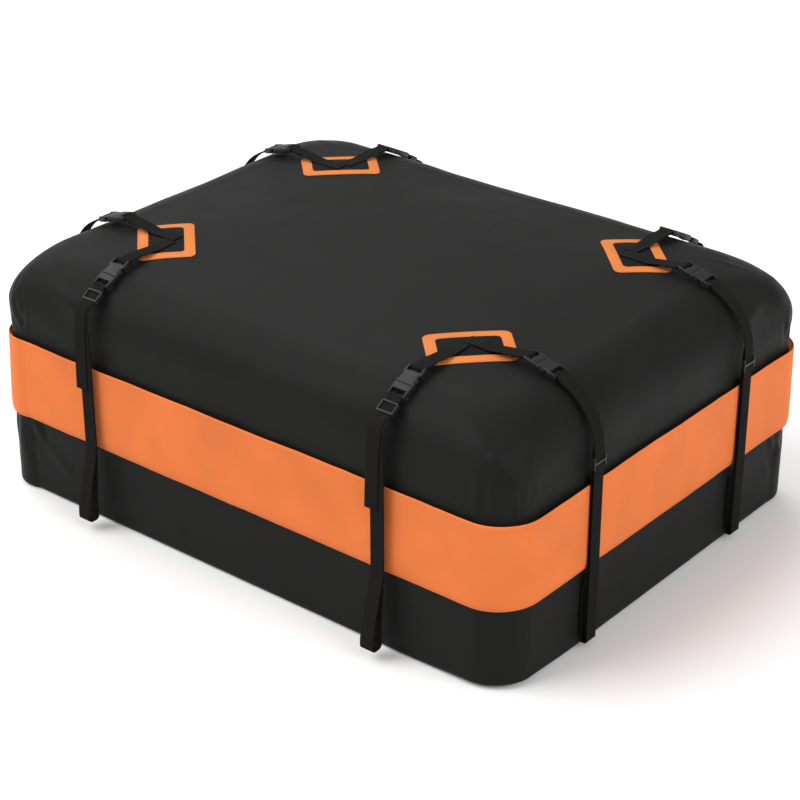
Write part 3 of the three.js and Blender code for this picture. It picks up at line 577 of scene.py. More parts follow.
class Sketch:
    """Adds and joins nodes in one tree."""

    def __init__(self, tree):
        self.tree = tree
        self.count = 0

    def node(self, kind, inputs=None, **settings):
        made = self.tree.nodes.new(kind)
        made.location = (self.count % 8 * 190 - 900, -(self.count // 8) * 260)
        self.count += 1
        for key, value in settings.items():
            setattr(made, key, value)
        for key, value in (inputs or {}).items():
            self.feed(made.inputs[key], value)
        return made

    def feed(self, target, value):
        if isinstance(value, bpy.types.NodeSocket):
            self.tree.links.new(value, target)
        else:
            target.default_value = value

    def math(self, operation, first, second=None, third=None):
        made = self.node("ShaderNodeMath", operation=operation)
        for target, value in zip(made.inputs, (first, second, third)):
            if value is not None:
                self.feed(target, value)
        return made.outputs[0]

    def mix(self, share, first, second):
        made = self.node("ShaderNodeMix", data_type="RGBA")
        for target, value in ((made.inputs[0], share), (made.inputs[6], first), (made.inputs[7], second)):
            self.feed(target, value)
        return made.outputs[2]

    def noise(self, vector, scale, detail=3.0, roughness=0.5):
        made = self.node(
            "ShaderNodeTexNoise", {"Vector": vector, "Scale": scale, "Detail": detail, "Roughness": roughness}
        )
        return made.outputs["Fac"]

    def ramp(self, value, low, high):
        made = self.node("ShaderNodeMapRange", {"Value": value, "From Min": low, "From Max": high})
        return made.outputs["Result"]

    def ridges(self, value):
        """Rounded ridges, one for each whole step of the value."""
        return self.math("ABSOLUTE", self.math("SINE", self.math("MULTIPLY", value, math.pi)))

    def group(self, name, inputs):
        made = self.node("ShaderNodeGroup", node_tree=bpy.data.node_groups[name])
        for key, value in inputs.items():
            self.feed(made.inputs[key], value)
        return made.outputs


def new_group(name, inputs, outputs):
    group = bpy.data.node_groups.new(name, "ShaderNodeTree")
    for title, kind, default in inputs:
        socket(group, title, kind, True, default)
    for title, kind in outputs:
        socket(group, title, kind, False)
    sketch = Sketch(group)
    return sketch, sketch.node("NodeGroupInput").outputs, sketch.node("NodeGroupOutput").inputs


def make_plain_weave():
    """Threads that pass over and under each other, on coordinates in metres, with a mask of the gaps between
    them for painted shade.
    """
    sketch, source, result = new_group(
        "Plain Weave",
        [("Coordinates", "NodeSocketVector", None), ("Pitch", "NodeSocketFloat", 0.001)],
        [("Height", "NodeSocketFloat"), ("Gap Shade", "NodeSocketFloat")],
    )
    split = sketch.node("ShaderNodeSeparateXYZ", {0: source["Coordinates"]}).outputs
    u = sketch.math("DIVIDE", split[0], source["Pitch"])
    v = sketch.math("DIVIDE", split[1], source["Pitch"])
    warp, weft = sketch.ridges(u), sketch.ridges(v)
    count = sketch.math("ADD", sketch.math("FLOOR", u), sketch.math("FLOOR", v))
    over = sketch.math("FLOORED_MODULO", count, 2.0)
    warp_top = sketch.math("MULTIPLY", warp, sketch.math("MULTIPLY_ADD", weft, 0.5, 0.5))
    weft_top = sketch.math("MULTIPLY", weft, sketch.math("MULTIPLY_ADD", warp, 0.5, 0.5))
    lifted = sketch.math("MULTIPLY", over, sketch.math("SUBTRACT", warp_top, weft_top))
    height = sketch.math("ADD", weft_top, lifted)
    sketch.feed(result["Height"], height)
    # The gap mask is for painted shade: it is high in the low places between the threads.
    sketch.feed(result["Gap Shade"], sketch.ramp(height, 0.35, 0.05))


def make_ribbed_tape():
    """Chevron ribs of woven tape, across in X and along in Y, in metres, with a mask of the gaps between them
    for painted shade.
    """
    sketch, source, result = new_group(
        "Ribbed Tape",
        [
            ("Coordinates", "NodeSocketVector", None),
            ("Rib", "NodeSocketFloat", 0.0016),
            ("Cord", "NodeSocketFloat", 0.0021),
        ],
        [("Height", "NodeSocketFloat"), ("Gap Shade", "NodeSocketFloat")],
    )
    split = sketch.node("ShaderNodeSeparateXYZ", {0: source["Coordinates"]}).outputs
    cord = sketch.math("DIVIDE", split[0], source["Cord"])
    slope = sketch.math("MULTIPLY", sketch.math("PINGPONG", cord, 1.0), 0.55)
    rib = sketch.math("ADD", sketch.math("DIVIDE", split[1], source["Rib"]), slope)
    ribs = sketch.math("MULTIPLY", sketch.ridges(rib), 0.65)
    height = sketch.math("ADD", ribs, sketch.math("MULTIPLY", sketch.ridges(cord), 0.35))
    sketch.feed(result["Height"], height)
    # The gap mask is for painted shade: it is high in the low places between the ribs and cords.
    sketch.feed(result["Gap Shade"], sketch.ramp(height, 0.4, 0.1))


def make_slack_cloth():
    """Small creases and soft dents of coated cloth."""
    sketch, source, result = new_group(
        "Slack Cloth",
        [("Coordinates", "NodeSocketVector", None), ("Size", "NodeSocketFloat", 14.0)],
        [("Height", "NodeSocketFloat"), ("Tone", "NodeSocketFloat")],
    )
    broad = sketch.noise(source["Coordinates"], source["Size"], 2.0, 0.45)
    fine_scale = sketch.math("MULTIPLY", source["Size"], 4.5)
    fine = sketch.noise(source["Coordinates"], fine_scale, 3.0, 0.55)
    ridge = sketch.math("ABSOLUTE", sketch.math("SUBTRACT", fine, 0.5))
    height = sketch.math("ADD", broad, sketch.math("MULTIPLY", ridge, -0.35))
    sketch.feed(result["Height"], height)
    sketch.feed(result["Tone"], sketch.ramp(broad, 0.3, 0.7))


def make_moulded_grain():
    """Fine spark-eroded grain of moulded plastic, with rubbed spots."""
    sketch, source, result = new_group(
        "Moulded Grain",
        [("Coordinates", "NodeSocketVector", None), ("Scale", "NodeSocketFloat", 2600.0)],
        [("Height", "NodeSocketFloat"), ("Rub", "NodeSocketFloat")],
    )
    grain = sketch.noise(source["Coordinates"], source["Scale"], 2.0, 0.6)
    patches = sketch.noise(source["Coordinates"], 95.0, 3.0, 0.6)
    sketch.feed(result["Height"], grain)
    sketch.feed(result["Rub"], sketch.ramp(patches, 0.45, 0.75))


def make_edge_wear():
    """Mask of edges that rub, from how sharply the surface turns."""
    sketch, source, result = new_group(
        "Edge Wear",
        [("Coordinates", "NodeSocketVector", None), ("Reach", "NodeSocketFloat", 0.53)],
        [("Mask", "NodeSocketFloat")],
    )
    point = sketch.node("ShaderNodeNewGeometry").outputs["Pointiness"]
    edge = sketch.ramp(point, source["Reach"], sketch.math("ADD", source["Reach"], 0.07))
    broken = sketch.ramp(sketch.noise(source["Coordinates"], 420.0, 4.0, 0.6), 0.4, 0.6)
    sketch.feed(result["Mask"], sketch.math("MULTIPLY", edge, broken))


GROUPS = (make_plain_weave, make_ribbed_tape, make_slack_cloth, make_moulded_grain, make_edge_wear)


def rgba(colour, factor=1.0):
    return (*(min(1.0, c * factor) for c in colour), 1.0)


def new_material(name):
    """A new material with its sketch and its Principled shader."""
    material = bpy.data.materials.new(name)
    material.use_nodes = True
    shader = material.node_tree.nodes["Principled BSDF"]
    return material, Sketch(material.node_tree), shader


def textured_material(name):
    """A new material with its sketch, its shader and its texture coordinates."""
    material, sketch, shader = new_material(name)
    return material, sketch, shader, sketch.node("ShaderNodeTexCoord").outputs


def bump(sketch, shader, *layers):
    """Stacks height layers, each with its depth in metres, on the shader's normal."""
    before = None
    for height, depth, strength in layers:
        inputs = {"Height": height, "Distance": depth, "Strength": strength}
        if before is not None:
            inputs["Normal"] = before
        before = sketch.node("ShaderNodeBump", inputs).outputs["Normal"]
    sketch.feed(shader.inputs["Normal"], before)


def cloth_material(name, colour, pitch, roughness, weave_depth, slack_depth, gloss):
    """Coated woven cloth: weave on the UV map in metres with painted shade between its threads, creases on
    the object's place.
    """
    material, sketch, shader, places = textured_material(name)
    weave = sketch.group("Plain Weave", {"Coordinates": places["UV"], "Pitch": pitch})
    creases = sketch.group("Slack Cloth", {"Coordinates": places["Object"], "Size": 11.0})
    tone = sketch.mix(creases["Tone"], rgba(colour, 0.93), rgba(colour, 1.07))
    # Painted shade: the cloth's colour darkens towards 0.6 of itself in the gaps between the threads.
    shade = sketch.math("MULTIPLY", weave["Gap Shade"], 0.35)
    sketch.feed(shader.inputs["Base Color"], sketch.mix(shade, tone, rgba(colour, 0.6)))
    rough = sketch.math("MULTIPLY_ADD", creases["Tone"], 0.08, roughness - 0.04)
    sketch.feed(shader.inputs["Roughness"], rough)
    shader.inputs["Specular IOR Level"].default_value = gloss
    bump(sketch, shader, (creases["Height"], slack_depth, 0.6), (weave["Height"], weave_depth, 0.5))
    return material


def webbing_material(name, colour):
    """Woven tape with chevron ribs, painted shade between them, and slightly fuzzy threads."""
    material, sketch, shader, places = textured_material(name)
    tape = sketch.group("Ribbed Tape", {"Coordinates": places["UV"]})
    fuzz = sketch.noise(places["Object"], 900.0, 2.0, 0.6)
    thread = sketch.mix(fuzz, rgba(colour, 0.75), rgba(colour, 1.55))
    # Painted shade: the webbing's colour darkens towards 0.45 of itself in the gaps between the ribs.
    sketch.feed(shader.inputs["Base Color"], sketch.mix(tape["Gap Shade"], thread, rgba(colour, 0.45)))
    sketch.feed(shader.inputs["Roughness"], sketch.math("MULTIPLY_ADD", fuzz, 0.15, 0.62))
    shader.inputs["Specular IOR Level"].default_value = 0.02
    bump(sketch, shader, (tape["Height"], 0.0004, 0.9), (fuzz, 0.0001, 0.4))
    return material


def plastic_material(name, colour):
    """Moulded plastic: fine grain, rubbed spots and worn edges."""
    material, sketch, shader, places = textured_material(name)
    grain = sketch.group("Moulded Grain", {"Coordinates": places["Object"]})
    wear = sketch.group("Edge Wear", {"Coordinates": places["Object"]})
    plain = sketch.mix(grain["Rub"], rgba(colour, 0.92), rgba(colour, 1.12))
    sketch.feed(shader.inputs["Base Color"], sketch.mix(wear["Mask"], plain, rgba(colour, 1.7)))
    sketch.feed(shader.inputs["Roughness"], sketch.math("MULTIPLY_ADD", grain["Rub"], -0.1, 0.47))
    shader.inputs["Specular IOR Level"].default_value = 0.28
    bump(sketch, shader, (grain["Height"], 0.00006, 0.35))
    return material


def thread_material(name, colour):
    """Twisted sewing thread."""
    material, sketch, shader, places = textured_material(name)
    twist = sketch.node(
        "ShaderNodeTexWave",
        {"Vector": places["Object"], "Scale": 900.0, "Distortion": 2.0},
        bands_direction="DIAGONAL",
    ).outputs["Fac"]
    sketch.feed(shader.inputs["Base Color"], sketch.mix(twist, rgba(colour, 0.7), rgba(colour, 1.3)))
    sketch.feed(shader.inputs["Roughness"], sketch.math("MULTIPLY_ADD", twist, 0.1, 0.5))
    bump(sketch, shader, (twist, 0.0001, 0.5))
    return material


def zip_tape_material(name, colour):
    """Fine twill tape of the zip, on the object's place because it is a plain node."""
    material, sketch, shader, places = textured_material(name)
    twill = sketch.node(
        "ShaderNodeTexWave", {"Vector": places["Object"], "Scale": 420.0}, bands_direction="DIAGONAL"
    ).outputs["Fac"]
    fuzz = sketch.noise(places["Object"], 700.0)
    sketch.feed(shader.inputs["Base Color"], sketch.mix(twill, rgba(colour, 0.7), rgba(colour, 1.4)))
    sketch.feed(shader.inputs["Roughness"], sketch.math("MULTIPLY_ADD", fuzz, 0.2, 0.6))
    bump(sketch, shader, (twill, 0.0002, 0.6))
    return material


def metal_material(name, colour):
    """Painted slider metal, rubbed bright at its edges."""
    material, sketch, shader, places = textured_material(name)
    wear = sketch.group("Edge Wear", {"Coordinates": places["Object"], "Reach": 0.52})
    grain = sketch.group("Moulded Grain", {"Coordinates": places["Object"], "Scale": 1800.0})
    sketch.feed(shader.inputs["Base Color"], sketch.mix(wear["Mask"], rgba(colour), rgba(colour, 3.0)))
    sketch.feed(shader.inputs["Metallic"], sketch.math("MULTIPLY_ADD", wear["Mask"], 0.3, 0.7))
    sketch.feed(shader.inputs["Roughness"], sketch.math("MULTIPLY_ADD", grain["Rub"], 0.15, 0.32))
    bump(sketch, shader, (grain["Height"], 0.00004, 0.3))
    return material


def finishes():
    """The bag's materials, made once."""
    if "coated fabric" not in bpy.data.materials:
        bag = bpy.context.scene.cargo_bag
        for make in GROUPS:
            make()
        cloth_material("coated fabric", bag.body.colour, 0.0009, 0.45, 0.00012, 0.0012, 0.048)
        cloth_material("flap fabric", bag.band.colour, 0.0009, 0.55, 0.00012, 0.0006, 0.12)
        cloth_material("patch fabric", bag.patch.colour, 0.0007, 0.5, 0.0001, 0.0004, 0.2)
        cloth_material("pad fabric", bag.patch.pad_colour, 0.0009, 0.6, 0.00015, 0.0004, 0.08)
        webbing_material("ribbed webbing", bag.webbing.colour)
        thread_material("dark thread", bag.webbing.thread)
        thread_material("orange thread", tuple(c * 0.9 for c in bag.patch.colour))
        thread_material("flap thread", tuple(c * 0.85 for c in bag.band.colour))
        plastic_material("buckle plastic", bag.hardware.colour)
        zip_tape_material("zip parts", bag.hardware.zip_colour)
        metal_material("zip metal", bag.hardware.metal)
    return bpy.data.materials


# Sewn shells


def laid_grid(name, columns, rows, form, rings):
    """A grid whose rings of vertices lie on the form's rings, from its rim to its middle line."""
    piece, _, i, j = numbered_grid(name, columns, rows)
    edges = np.stack([j, columns - i, rows - j, i])
    side, ring = edges.argmin(0), edges.min(0)
    along_x = (i - ring) / np.maximum(columns - 2 * ring, 1)
    along_y = (j - ring) / np.maximum(rows - 2 * ring, 1)
    along = 2 * np.where(side % 2 == 0, along_x, along_y) - 1
    along *= 1.15 - 0.15 * along**4
    inset, height, radius = (values[ring] for values in rings)
    x, y = form.around(side, np.where(side < 2, along, -along), inset, radius)
    place(piece, np.stack([x, y, height], 1))
    return piece


def draw_walls(piece, heights):
    """Extrudes the rim of a laid grid up or down the wall, ring by ring."""
    activate(piece)
    bpy.ops.object.mode_set(mode="EDIT")
    bpy.ops.mesh.select_mode(type="EDGE")
    bpy.ops.mesh.select_all(action="SELECT")
    bpy.ops.mesh.region_to_loop()
    for before, after in zip(heights, heights[1:]):
        bpy.ops.mesh.extrude_region_move(TRANSFORM_OT_translate={"value": (0, 0, after - before)})
    bpy.ops.mesh.select_mode(type="VERT")
    bpy.ops.object.mode_set(mode="OBJECT")
    face_outwards(piece)


def cut_pattern(form, piece, upper):
    """Writes UVs in metres as if the shell were cut from flat cloth and folded down at its walls."""
    s = form.sizes
    points = coordinates(piece)
    centres, vertex, face = face_data(piece)

    def beyond(z):
        if upper:
            angle = np.arcsin(np.clip((z - s.wall_top) / s.shoulder_rise, 0, 1))
            bend = (s.shoulder_width + s.shoulder_rise) / 2 * (math.pi / 2 - angle)
            return bend + np.maximum(s.wall_top - z, 0)
        angle = np.arccos(np.clip(1 - z / s.base_edge, 0, 1))
        return s.base_edge * angle + np.maximum(z - s.base_edge, 0)

    edge = s.shoulder_width if upper else s.base_edge
    corner, middle = points[vertex], centres[face]
    folded = beyond(middle[:, 2]) > 1e-5
    long_wall = np.abs(middle[:, 1]) - form.half_y > np.abs(middle[:, 0]) - form.half_x
    run = beyond(corner[:, 2]) - edge
    u = np.where(folded & ~long_wall, np.sign(middle[:, 0]) * (form.half_x + run), corner[:, 0])
    v = np.where(folded & long_wall, np.sign(middle[:, 1]) * (form.half_y + run), corner[:, 1])
    layer = piece.data.uv_layers.active or piece.data.uv_layers.new(name="UVMap")
    layer.data.foreach_set("uv", np.stack([u, v], 1).astype(np.float32).ravel())


def sag(form, piece):
    """Moves the cloth by its slack along its normals, and fills the corners."""
    points = coordinates(piece)
    s = form.sizes
    held = 1 - smooth(points[:, 2], s.wall_top, s.wall_top + 0.9 * s.shoulder_rise)
    loose = points + slack(form, points)[:, None] * normals(piece)
    loose[:, :2] += fullness(form, points) * held[:, None]
    loose[:, 2] += lifted_corner(form, points)
    place(piece, loose)


def finish_shell(form, shell, node, upper):
    """Cuts a drawn shell's pattern, slackens it and gives it the fabric's thickness."""
    cut_pattern(form, shell, upper)
    sag(form, shell)
    modify(shell, "SOLIDIFY", thickness=form.sizes.fabric, offset=-1)
    smooth_faces(shell)
    dress(shell, finishes()["coated fabric"], "bag", "coated_fabric", node)


class CARGOBAG_OT_upper_shell(bpy.types.Operator):
    """Sews the top and shoulder of the bag down to the zip"""

    bl_idname = "cargo_bag.upper_shell"
    bl_label = "Upper Shell"

    def execute(self, context):
        bag = context.scene.cargo_bag
        form = BagForm(bag.body)
        columns, rows, shoulder_rings = 200, 152, 40
        crown_rings = rows // 2 - shoulder_rings
        low = form.shoulder(np.linspace(0, math.pi / 2, shoulder_rings + 1))
        high = form.crown(np.linspace(0, 1, crown_rings + 1)[1:])
        rings = [np.concatenate(pair) for pair in zip(low, high)]
        shell = laid_grid("bag_upper_shell", columns, rows, form, rings)
        rim = bag.body.zip_height + bag.body.rim_gap
        draw_walls(shell, np.linspace(bag.body.wall_top, rim, 25))
        finish_shell(form, shell, "upper_shell", True)
        return {"FINISHED"}


class CARGOBAG_OT_lower_shell(bpy.types.Operator):
    """Sews the base and lower walls of the bag up to the zip"""

    bl_idname = "cargo_bag.lower_shell"
    bl_label = "Lower Shell"

    def execute(self, context):
        bag = context.scene.cargo_bag
        form = BagForm(bag.body)
        columns, rows, edge_rings = 156, 118, 6
        edge = form.base_edge(np.linspace(math.pi / 2, 0, edge_rings + 1))
        share = np.linspace(0, 1, rows // 2 - edge_rings + 1)[1:]
        inset = bag.body.base_edge + share * (form.half_y - bag.body.base_edge)
        radius = np.minimum(bag.body.wall_corner - bag.body.base_edge, form.half_y - inset)
        rings = [np.concatenate(pair) for pair in zip(edge, (inset, 0 * inset, radius))]
        shell = laid_grid("bag_lower_shell", columns, rows, form, rings)
        rim = bag.body.zip_height - bag.body.rim_gap
        draw_walls(shell, np.linspace(bag.body.base_edge, rim, 39))
        finish_shell(form, shell, "lower_shell", False)
        return {"FINISHED"}


# Rings of cloth: the band round the zip and the frames of the patches


def ring_piece(name, around, section, where, run, widths):
    """A closed ring of cloth; where gives a vertex's place from its numbers round it and in its section."""
    piece, _, i, j = numbered_grid(name, around, section)
    place(piece, where(i % around, j % section))
    write_uv(piece, np.stack([i * run / around, widths[j]], 1))
    merge_seams(piece)
    face_outwards(piece)
    smooth_faces(piece)
    return piece


def closed_lengths(section):
    """Length travelled at each point of a closed section, and once round."""
    steps = np.linalg.norm(np.roll(section, -1, axis=0) - section, axis=1)
    return np.concatenate([[0], np.cumsum(steps)])


def band_section(band):
    """Section of the flap: lower hem, face, turned upper edge and the seam behind it, outwards and up."""
    out, low, top = band.standoff, band.bottom, band.top
    face = [(0.4, -0.4), (0.62, 0.6), (0.74, 3.2), (0.84, 7), (0.92, 12), (0.98, 18)]
    points = [(0.00035, low + 0.0003), (0.0016, low - 0.0004)]
    points += [(share * out, low + up / 1000) for share, up in face]
    points += [(out, z) for z in np.linspace(low + 0.026, top - 0.012, 12)]
    points += [(out, top - 0.006), (out - 0.0001, top - 0.003), (out - 0.0005, top - 0.001)]
    points += [(out - 0.0012, top), (out - 0.0019, top - 0.0007), (out - 0.0022, top - 0.003)]
    points += [(0.0044, top - 0.0065), (0.002, top - 0.0085), (0.00035, top - 0.0095), (0.00035, top - 0.018)]
    points += [(0.003, top - 0.0175), (0.0055, top - 0.0185), (out - 0.0016, top - 0.023)]
    points += [(out - 0.0016, z) for z in np.linspace(top - 0.04, low + 0.028, 6)]
    points += [(0.0052, low + 0.018), (0.0028, low + 0.011), (0.00035, low + 0.0095)]
    return np.array(points)


def on_band(form, share, out, height):
    """Places on the flap at shares of its way round, with its slack."""
    points, facing = form.wall_line(share)
    full = np.concatenate([points, height[:, None]], 1)
    loose = smooth(out, 0.0025, 0.006)
    ripple = 0.0006 * waves(full * [1, 1, 0.5], 7, 0.05, 0.25, 16)
    ripple += 0.0009 * waves(full * [1, 1, 0.3], 8, 0.25, 0.7, 8)
    hem = 0.0006 * waves(full, 9, 0.03, 0.12, 12)
    flat = points + facing * (out + loose * ripple)[:, None] + fullness(form, full)
    return np.concatenate([flat, (height + loose * hem)[:, None]], 1)


class CARGOBAG_OT_band(bpy.types.Operator):
    """Lays the flap band round the walls over the zip, with its rows of stitches"""

    bl_idname = "cargo_bag.band"
    bl_label = "Flap Band"

    def execute(self, context):
        bag = context.scene.cargo_bag
        form = BagForm(bag.body)
        section = band_section(bag.band)
        around = 600

        def where(i, j):
            return on_band(form, i / around, section[j, 0], section[j, 1])

        run = 4 * (form.half_x + form.half_y) - (8 - 2 * math.pi) * bag.body.wall_corner
        band = ring_piece("flap_band", around, len(section), where, run, closed_lengths(section))
        dress(band, finishes()["flap fabric"], "bag", "orange_flap", "zip_flap_band")
        samples = 4800
        shares = np.arange(0, 1, 1 / samples)
        lower = (0.84 * bag.band.standoff, bag.band.bottom + 0.007)
        upper = (bag.band.standoff, bag.band.top - 0.008)
        rows = [
            (on_band(form, shares, np.full(samples, out + 0.0001), np.full(samples, height)), True)
            for out, height in (lower, upper)
        ]
        sew("flap_stitches", rows, FLAP_PITCH, "flap thread", "orange_flap")
        return {"FINISHED"}


# Anchor patches


class PatchPlace:
    """Turns points of a patch's own plan into places on the crown."""

    def __init__(self, form, patch, sign_x, sign_y):
        self.form = form
        self.centre = (sign_x * (form.half_x - patch.from_end), sign_y * (form.half_y - patch.from_side))
        self.turn = math.radians(-45 if sign_x * sign_y > 0 else 45)

    def on_crown(self, a, b, lift):
        dx, dy = turned(self.turn, a, b)
        x, y = self.centre[0] + dx, self.centre[1] + dy
        return np.stack([x, y, top_of_cloth(self.form, x, y) + lift], 1)


def top_of_cloth(form, x, y):
    """Height of the slack cloth over points of the plan."""
    z = form.crown_height(x, y)
    return z + slack(form, np.stack([x, y, z], 1))


def outline(patch, number, inset, cells=(26, 16, 7)):
    """Points of the patch's rounded outline at an inset, for running numbers round it."""
    long_cells, short_cells, corner_cells = cells
    half_a = patch.long_side / 2 - inset
    half_b = patch.short_side / 2 - inset
    radius = patch.corner - inset * 0.18
    a, b = np.zeros(len(number)), np.zeros(len(number))
    first = 0
    for side in range(4):
        long_side = side % 2 == 0
        reach, depth = (half_a, half_b) if long_side else (half_b, half_a)
        for cells_here, bends in ((long_cells if long_side else short_cells, False), (corner_cells, True)):
            here = (number >= first) & (number < first + cells_here)
            t = (number[here] - first) / cells_here
            first += cells_here
            r = radius[here]
            bend = t * math.pi / 2 if bends else 0 * t
            p = (reach[here] - r) * (1 if bends else 2 * t - 1) + r * np.sin(bend)
            q = depth[here] - r + r * np.cos(bend)
            a[here], b[here] = on_side(side, p, q)
    return a, b


OUTLINE_CELLS = 2 * (26 + 16 + 2 * 7)


def frame_section(border):
    """Section of a patch frame: inset from its outline and height over the crown."""
    inner = border - np.array([0.0, 0.0, 0.0005, 0.0016, 0.0034, 0.0052, 0.008])
    heights = [0.0003, 0.001, 0.0016, 0.0018, 0.0015, 0.00185, 0.0019]
    outer = border - inner
    rise = [(d, h) for d, h in zip(outer, heights)]
    fall = [(d, h) for d, h in zip(inner[::-1], heights[::-1])]
    return np.array(rise + fall)


class CARGOBAG_OT_patches(bpy.types.Operator):
    """Sews the four anchor patches on the crown: a frame, its field and its stitches"""

    bl_idname = "cargo_bag.patches"
    bl_label = "Anchor Patches"

    def execute(self, context):
        bag = context.scene.cargo_bag
        form = BagForm(bag.body)
        patch = bag.patch
        section = frame_section(patch.border)
        run = 2 * (patch.long_side + patch.short_side - 2 * patch.border)
        for row, sign_y, column, sign_x in PATCHES:
            laid = PatchPlace(form, patch, sign_x, sign_y)

            def where(i, j):
                a, b = outline(patch, i, section[j, 0])
                return laid.on_crown(a, b, section[j, 1])

            name, widths = f"patch_border_{row}_{column}", closed_lengths(section)
            border = ring_piece(name, OUTLINE_CELLS, len(section), where, run, widths)
            dress(border, finishes()["patch fabric"], "bag", "orange_patch", f"patch_frame_{row}_{column}")
            self.field(laid, patch, row, column)
            rows = []
            for inset in (0.0034, patch.border - 0.0034):
                fine = np.arange(0, OUTLINE_CELLS, 0.1)
                a, b = outline(patch, fine, np.full(len(fine), inset))
                rows.append((laid.on_crown(a, b, 0.00155), True))
            sew(f"patch_stitches_{row}_{column}", rows, PATCH_PITCH, "orange thread", "orange_patch")
        return {"FINISHED"}

    def field(self, laid, patch, row, column):
        pad, flat, _, _ = numbered_grid(f"patch_field_{row}_{column}", 32, 20)
        a = flat[:, 0] * (patch.long_side - 2 * patch.border - 0.0006)
        b = flat[:, 1] * (patch.short_side - 2 * patch.border - 0.0006)
        place(pad, laid.on_crown(a, b, 0.0015))
        write_uv(pad, np.stack([a, b], 1))
        modify(pad, "SOLIDIFY", thickness=0.0011, offset=-1)
        smooth_faces(pad, 40)
        dress(pad, finishes()["pad fabric"], "bag", "patch_pad", f"patch_pad_{row}_{column}")


# Stitches


def sew(name, rows, pitch, thread, slot, body="bag"):
    """Sets stitches along rows of points; each row is its points and whether it closes on itself."""
    deselect()
    bpy.ops.mesh.primitive_ico_sphere_add(subdivisions=1, radius=0.5)
    piece = new_piece(name)
    single = coordinates(piece)
    corners = np.zeros(len(piece.data.loops), dtype=np.int64)
    piece.data.loops.foreach_get("vertex_index", corners)
    corners = corners.reshape(-1, 3)
    points, faces = [], []
    for line, closed in rows:
        if closed:
            line = np.concatenate([line, line[:1]])
        steps = np.concatenate([[0], np.cumsum(np.linalg.norm(np.diff(line, axis=0), axis=1))])
        count = max(2, int(round(steps[-1] / pitch)))
        middles = (np.arange(count) + 0.5) * steps[-1] / count
        behind, centre, ahead = (
            np.stack([np.interp(middles + off, steps, line[:, k]) for k in range(3)], 1)
            for off in (-0.001, 0, 0.001)
        )
        along = ahead - behind
        along /= np.linalg.norm(along, axis=1)[:, None]
        up = np.cross(along, np.roll(along, 1, axis=1))
        up /= np.maximum(np.linalg.norm(up, axis=1), 1e-9)[:, None]
        across = np.cross(up, along)
        size = (pitch * 0.8, THREAD_WIDTH, THREAD_WIDTH)
        for k in range(count):
            basis = np.stack([along[k] * size[0], across[k] * size[1], up[k] * size[2]])
            faces.append(corners + len(points) * len(single))
            points.append(single @ basis + centre[k])
    mesh = bpy.data.meshes.new(name)
    mesh.from_pydata(np.concatenate(points).tolist(), [], np.concatenate(faces).tolist())
    piece.data = mesh
    smooth_faces(piece)
    return dress(piece, finishes()[thread], body, slot)


# Webbing: paths of the middle line as places out from the bag, heights and shifts along the wall


def fillet_path(corners):
    """Rounds the corners of a path; each corner is (out, height, radius, shift)."""
    path = []
    for n, (u, z, r, v) in enumerate(corners):
        if not r or n in (0, len(corners) - 1):
            path.append((u, z, v))
            continue
        here = np.array([u, z])
        back = np.array(corners[n - 1][:2]) - here
        ahead = np.array(corners[n + 1][:2]) - here
        back, ahead = back / np.linalg.norm(back), ahead / np.linalg.norm(ahead)
        turn = math.pi - math.acos(max(-1.0, min(1.0, float(back @ ahead))))
        bisector = back + ahead
        centre = here + bisector * (r / math.cos(turn / 2) / np.linalg.norm(bisector))
        start = here + back * r * math.tan(turn / 2) - centre
        way = -1 if back[0] * ahead[1] - back[1] * ahead[0] > 0 else 1
        steps = max(2, math.ceil(turn / math.radians(9)))
        for k in range(steps + 1):
            c, s = math.cos(way * turn * k / steps), math.sin(way * turn * k / steps)
            path.append((centre[0] + start[0] * c - start[1] * s, centre[1] + start[0] * s + start[1] * c, v))
    kept = [path[0]]
    for point in path[1:]:
        gap = math.dist(point[:2], kept[-1][:2])
        if gap > 0.00005:
            parts = max(1, math.ceil(gap / 0.005))
            last = np.array(kept[-1])
            kept += [tuple(last + (np.array(point) - last) * k / parts) for k in range(1, parts + 1)]
    return np.array(kept)


def tilted(origin, degrees):
    """Maps steps along and off a tilted line to places out and up."""
    c, s = math.cos(math.radians(degrees)), math.sin(math.radians(degrees))
    return lambda x, n: (origin[0] + x * c + n * s, origin[1] - x * s + n * c)


def meeting(line, n, u):
    """Corner where a tilted line at height n meets the upright at u."""
    (u0, z0), (u1, z1) = line(0, n), line(1, n)
    return (u, z0 + (z1 - z0) * (u - u0) / (u1 - u0))


def round_bar(line, first_face, r):
    """Corners of a wrap round a bar, in on one face of the line and out on the other."""
    return [
        (*line(0, first_face * r), 0, 0),
        (*line(-r, first_face * r), r, 0),
        (*line(-r, -first_face * r), r, 0),
        (*line(0, -first_face * r), 0, 0),
    ]


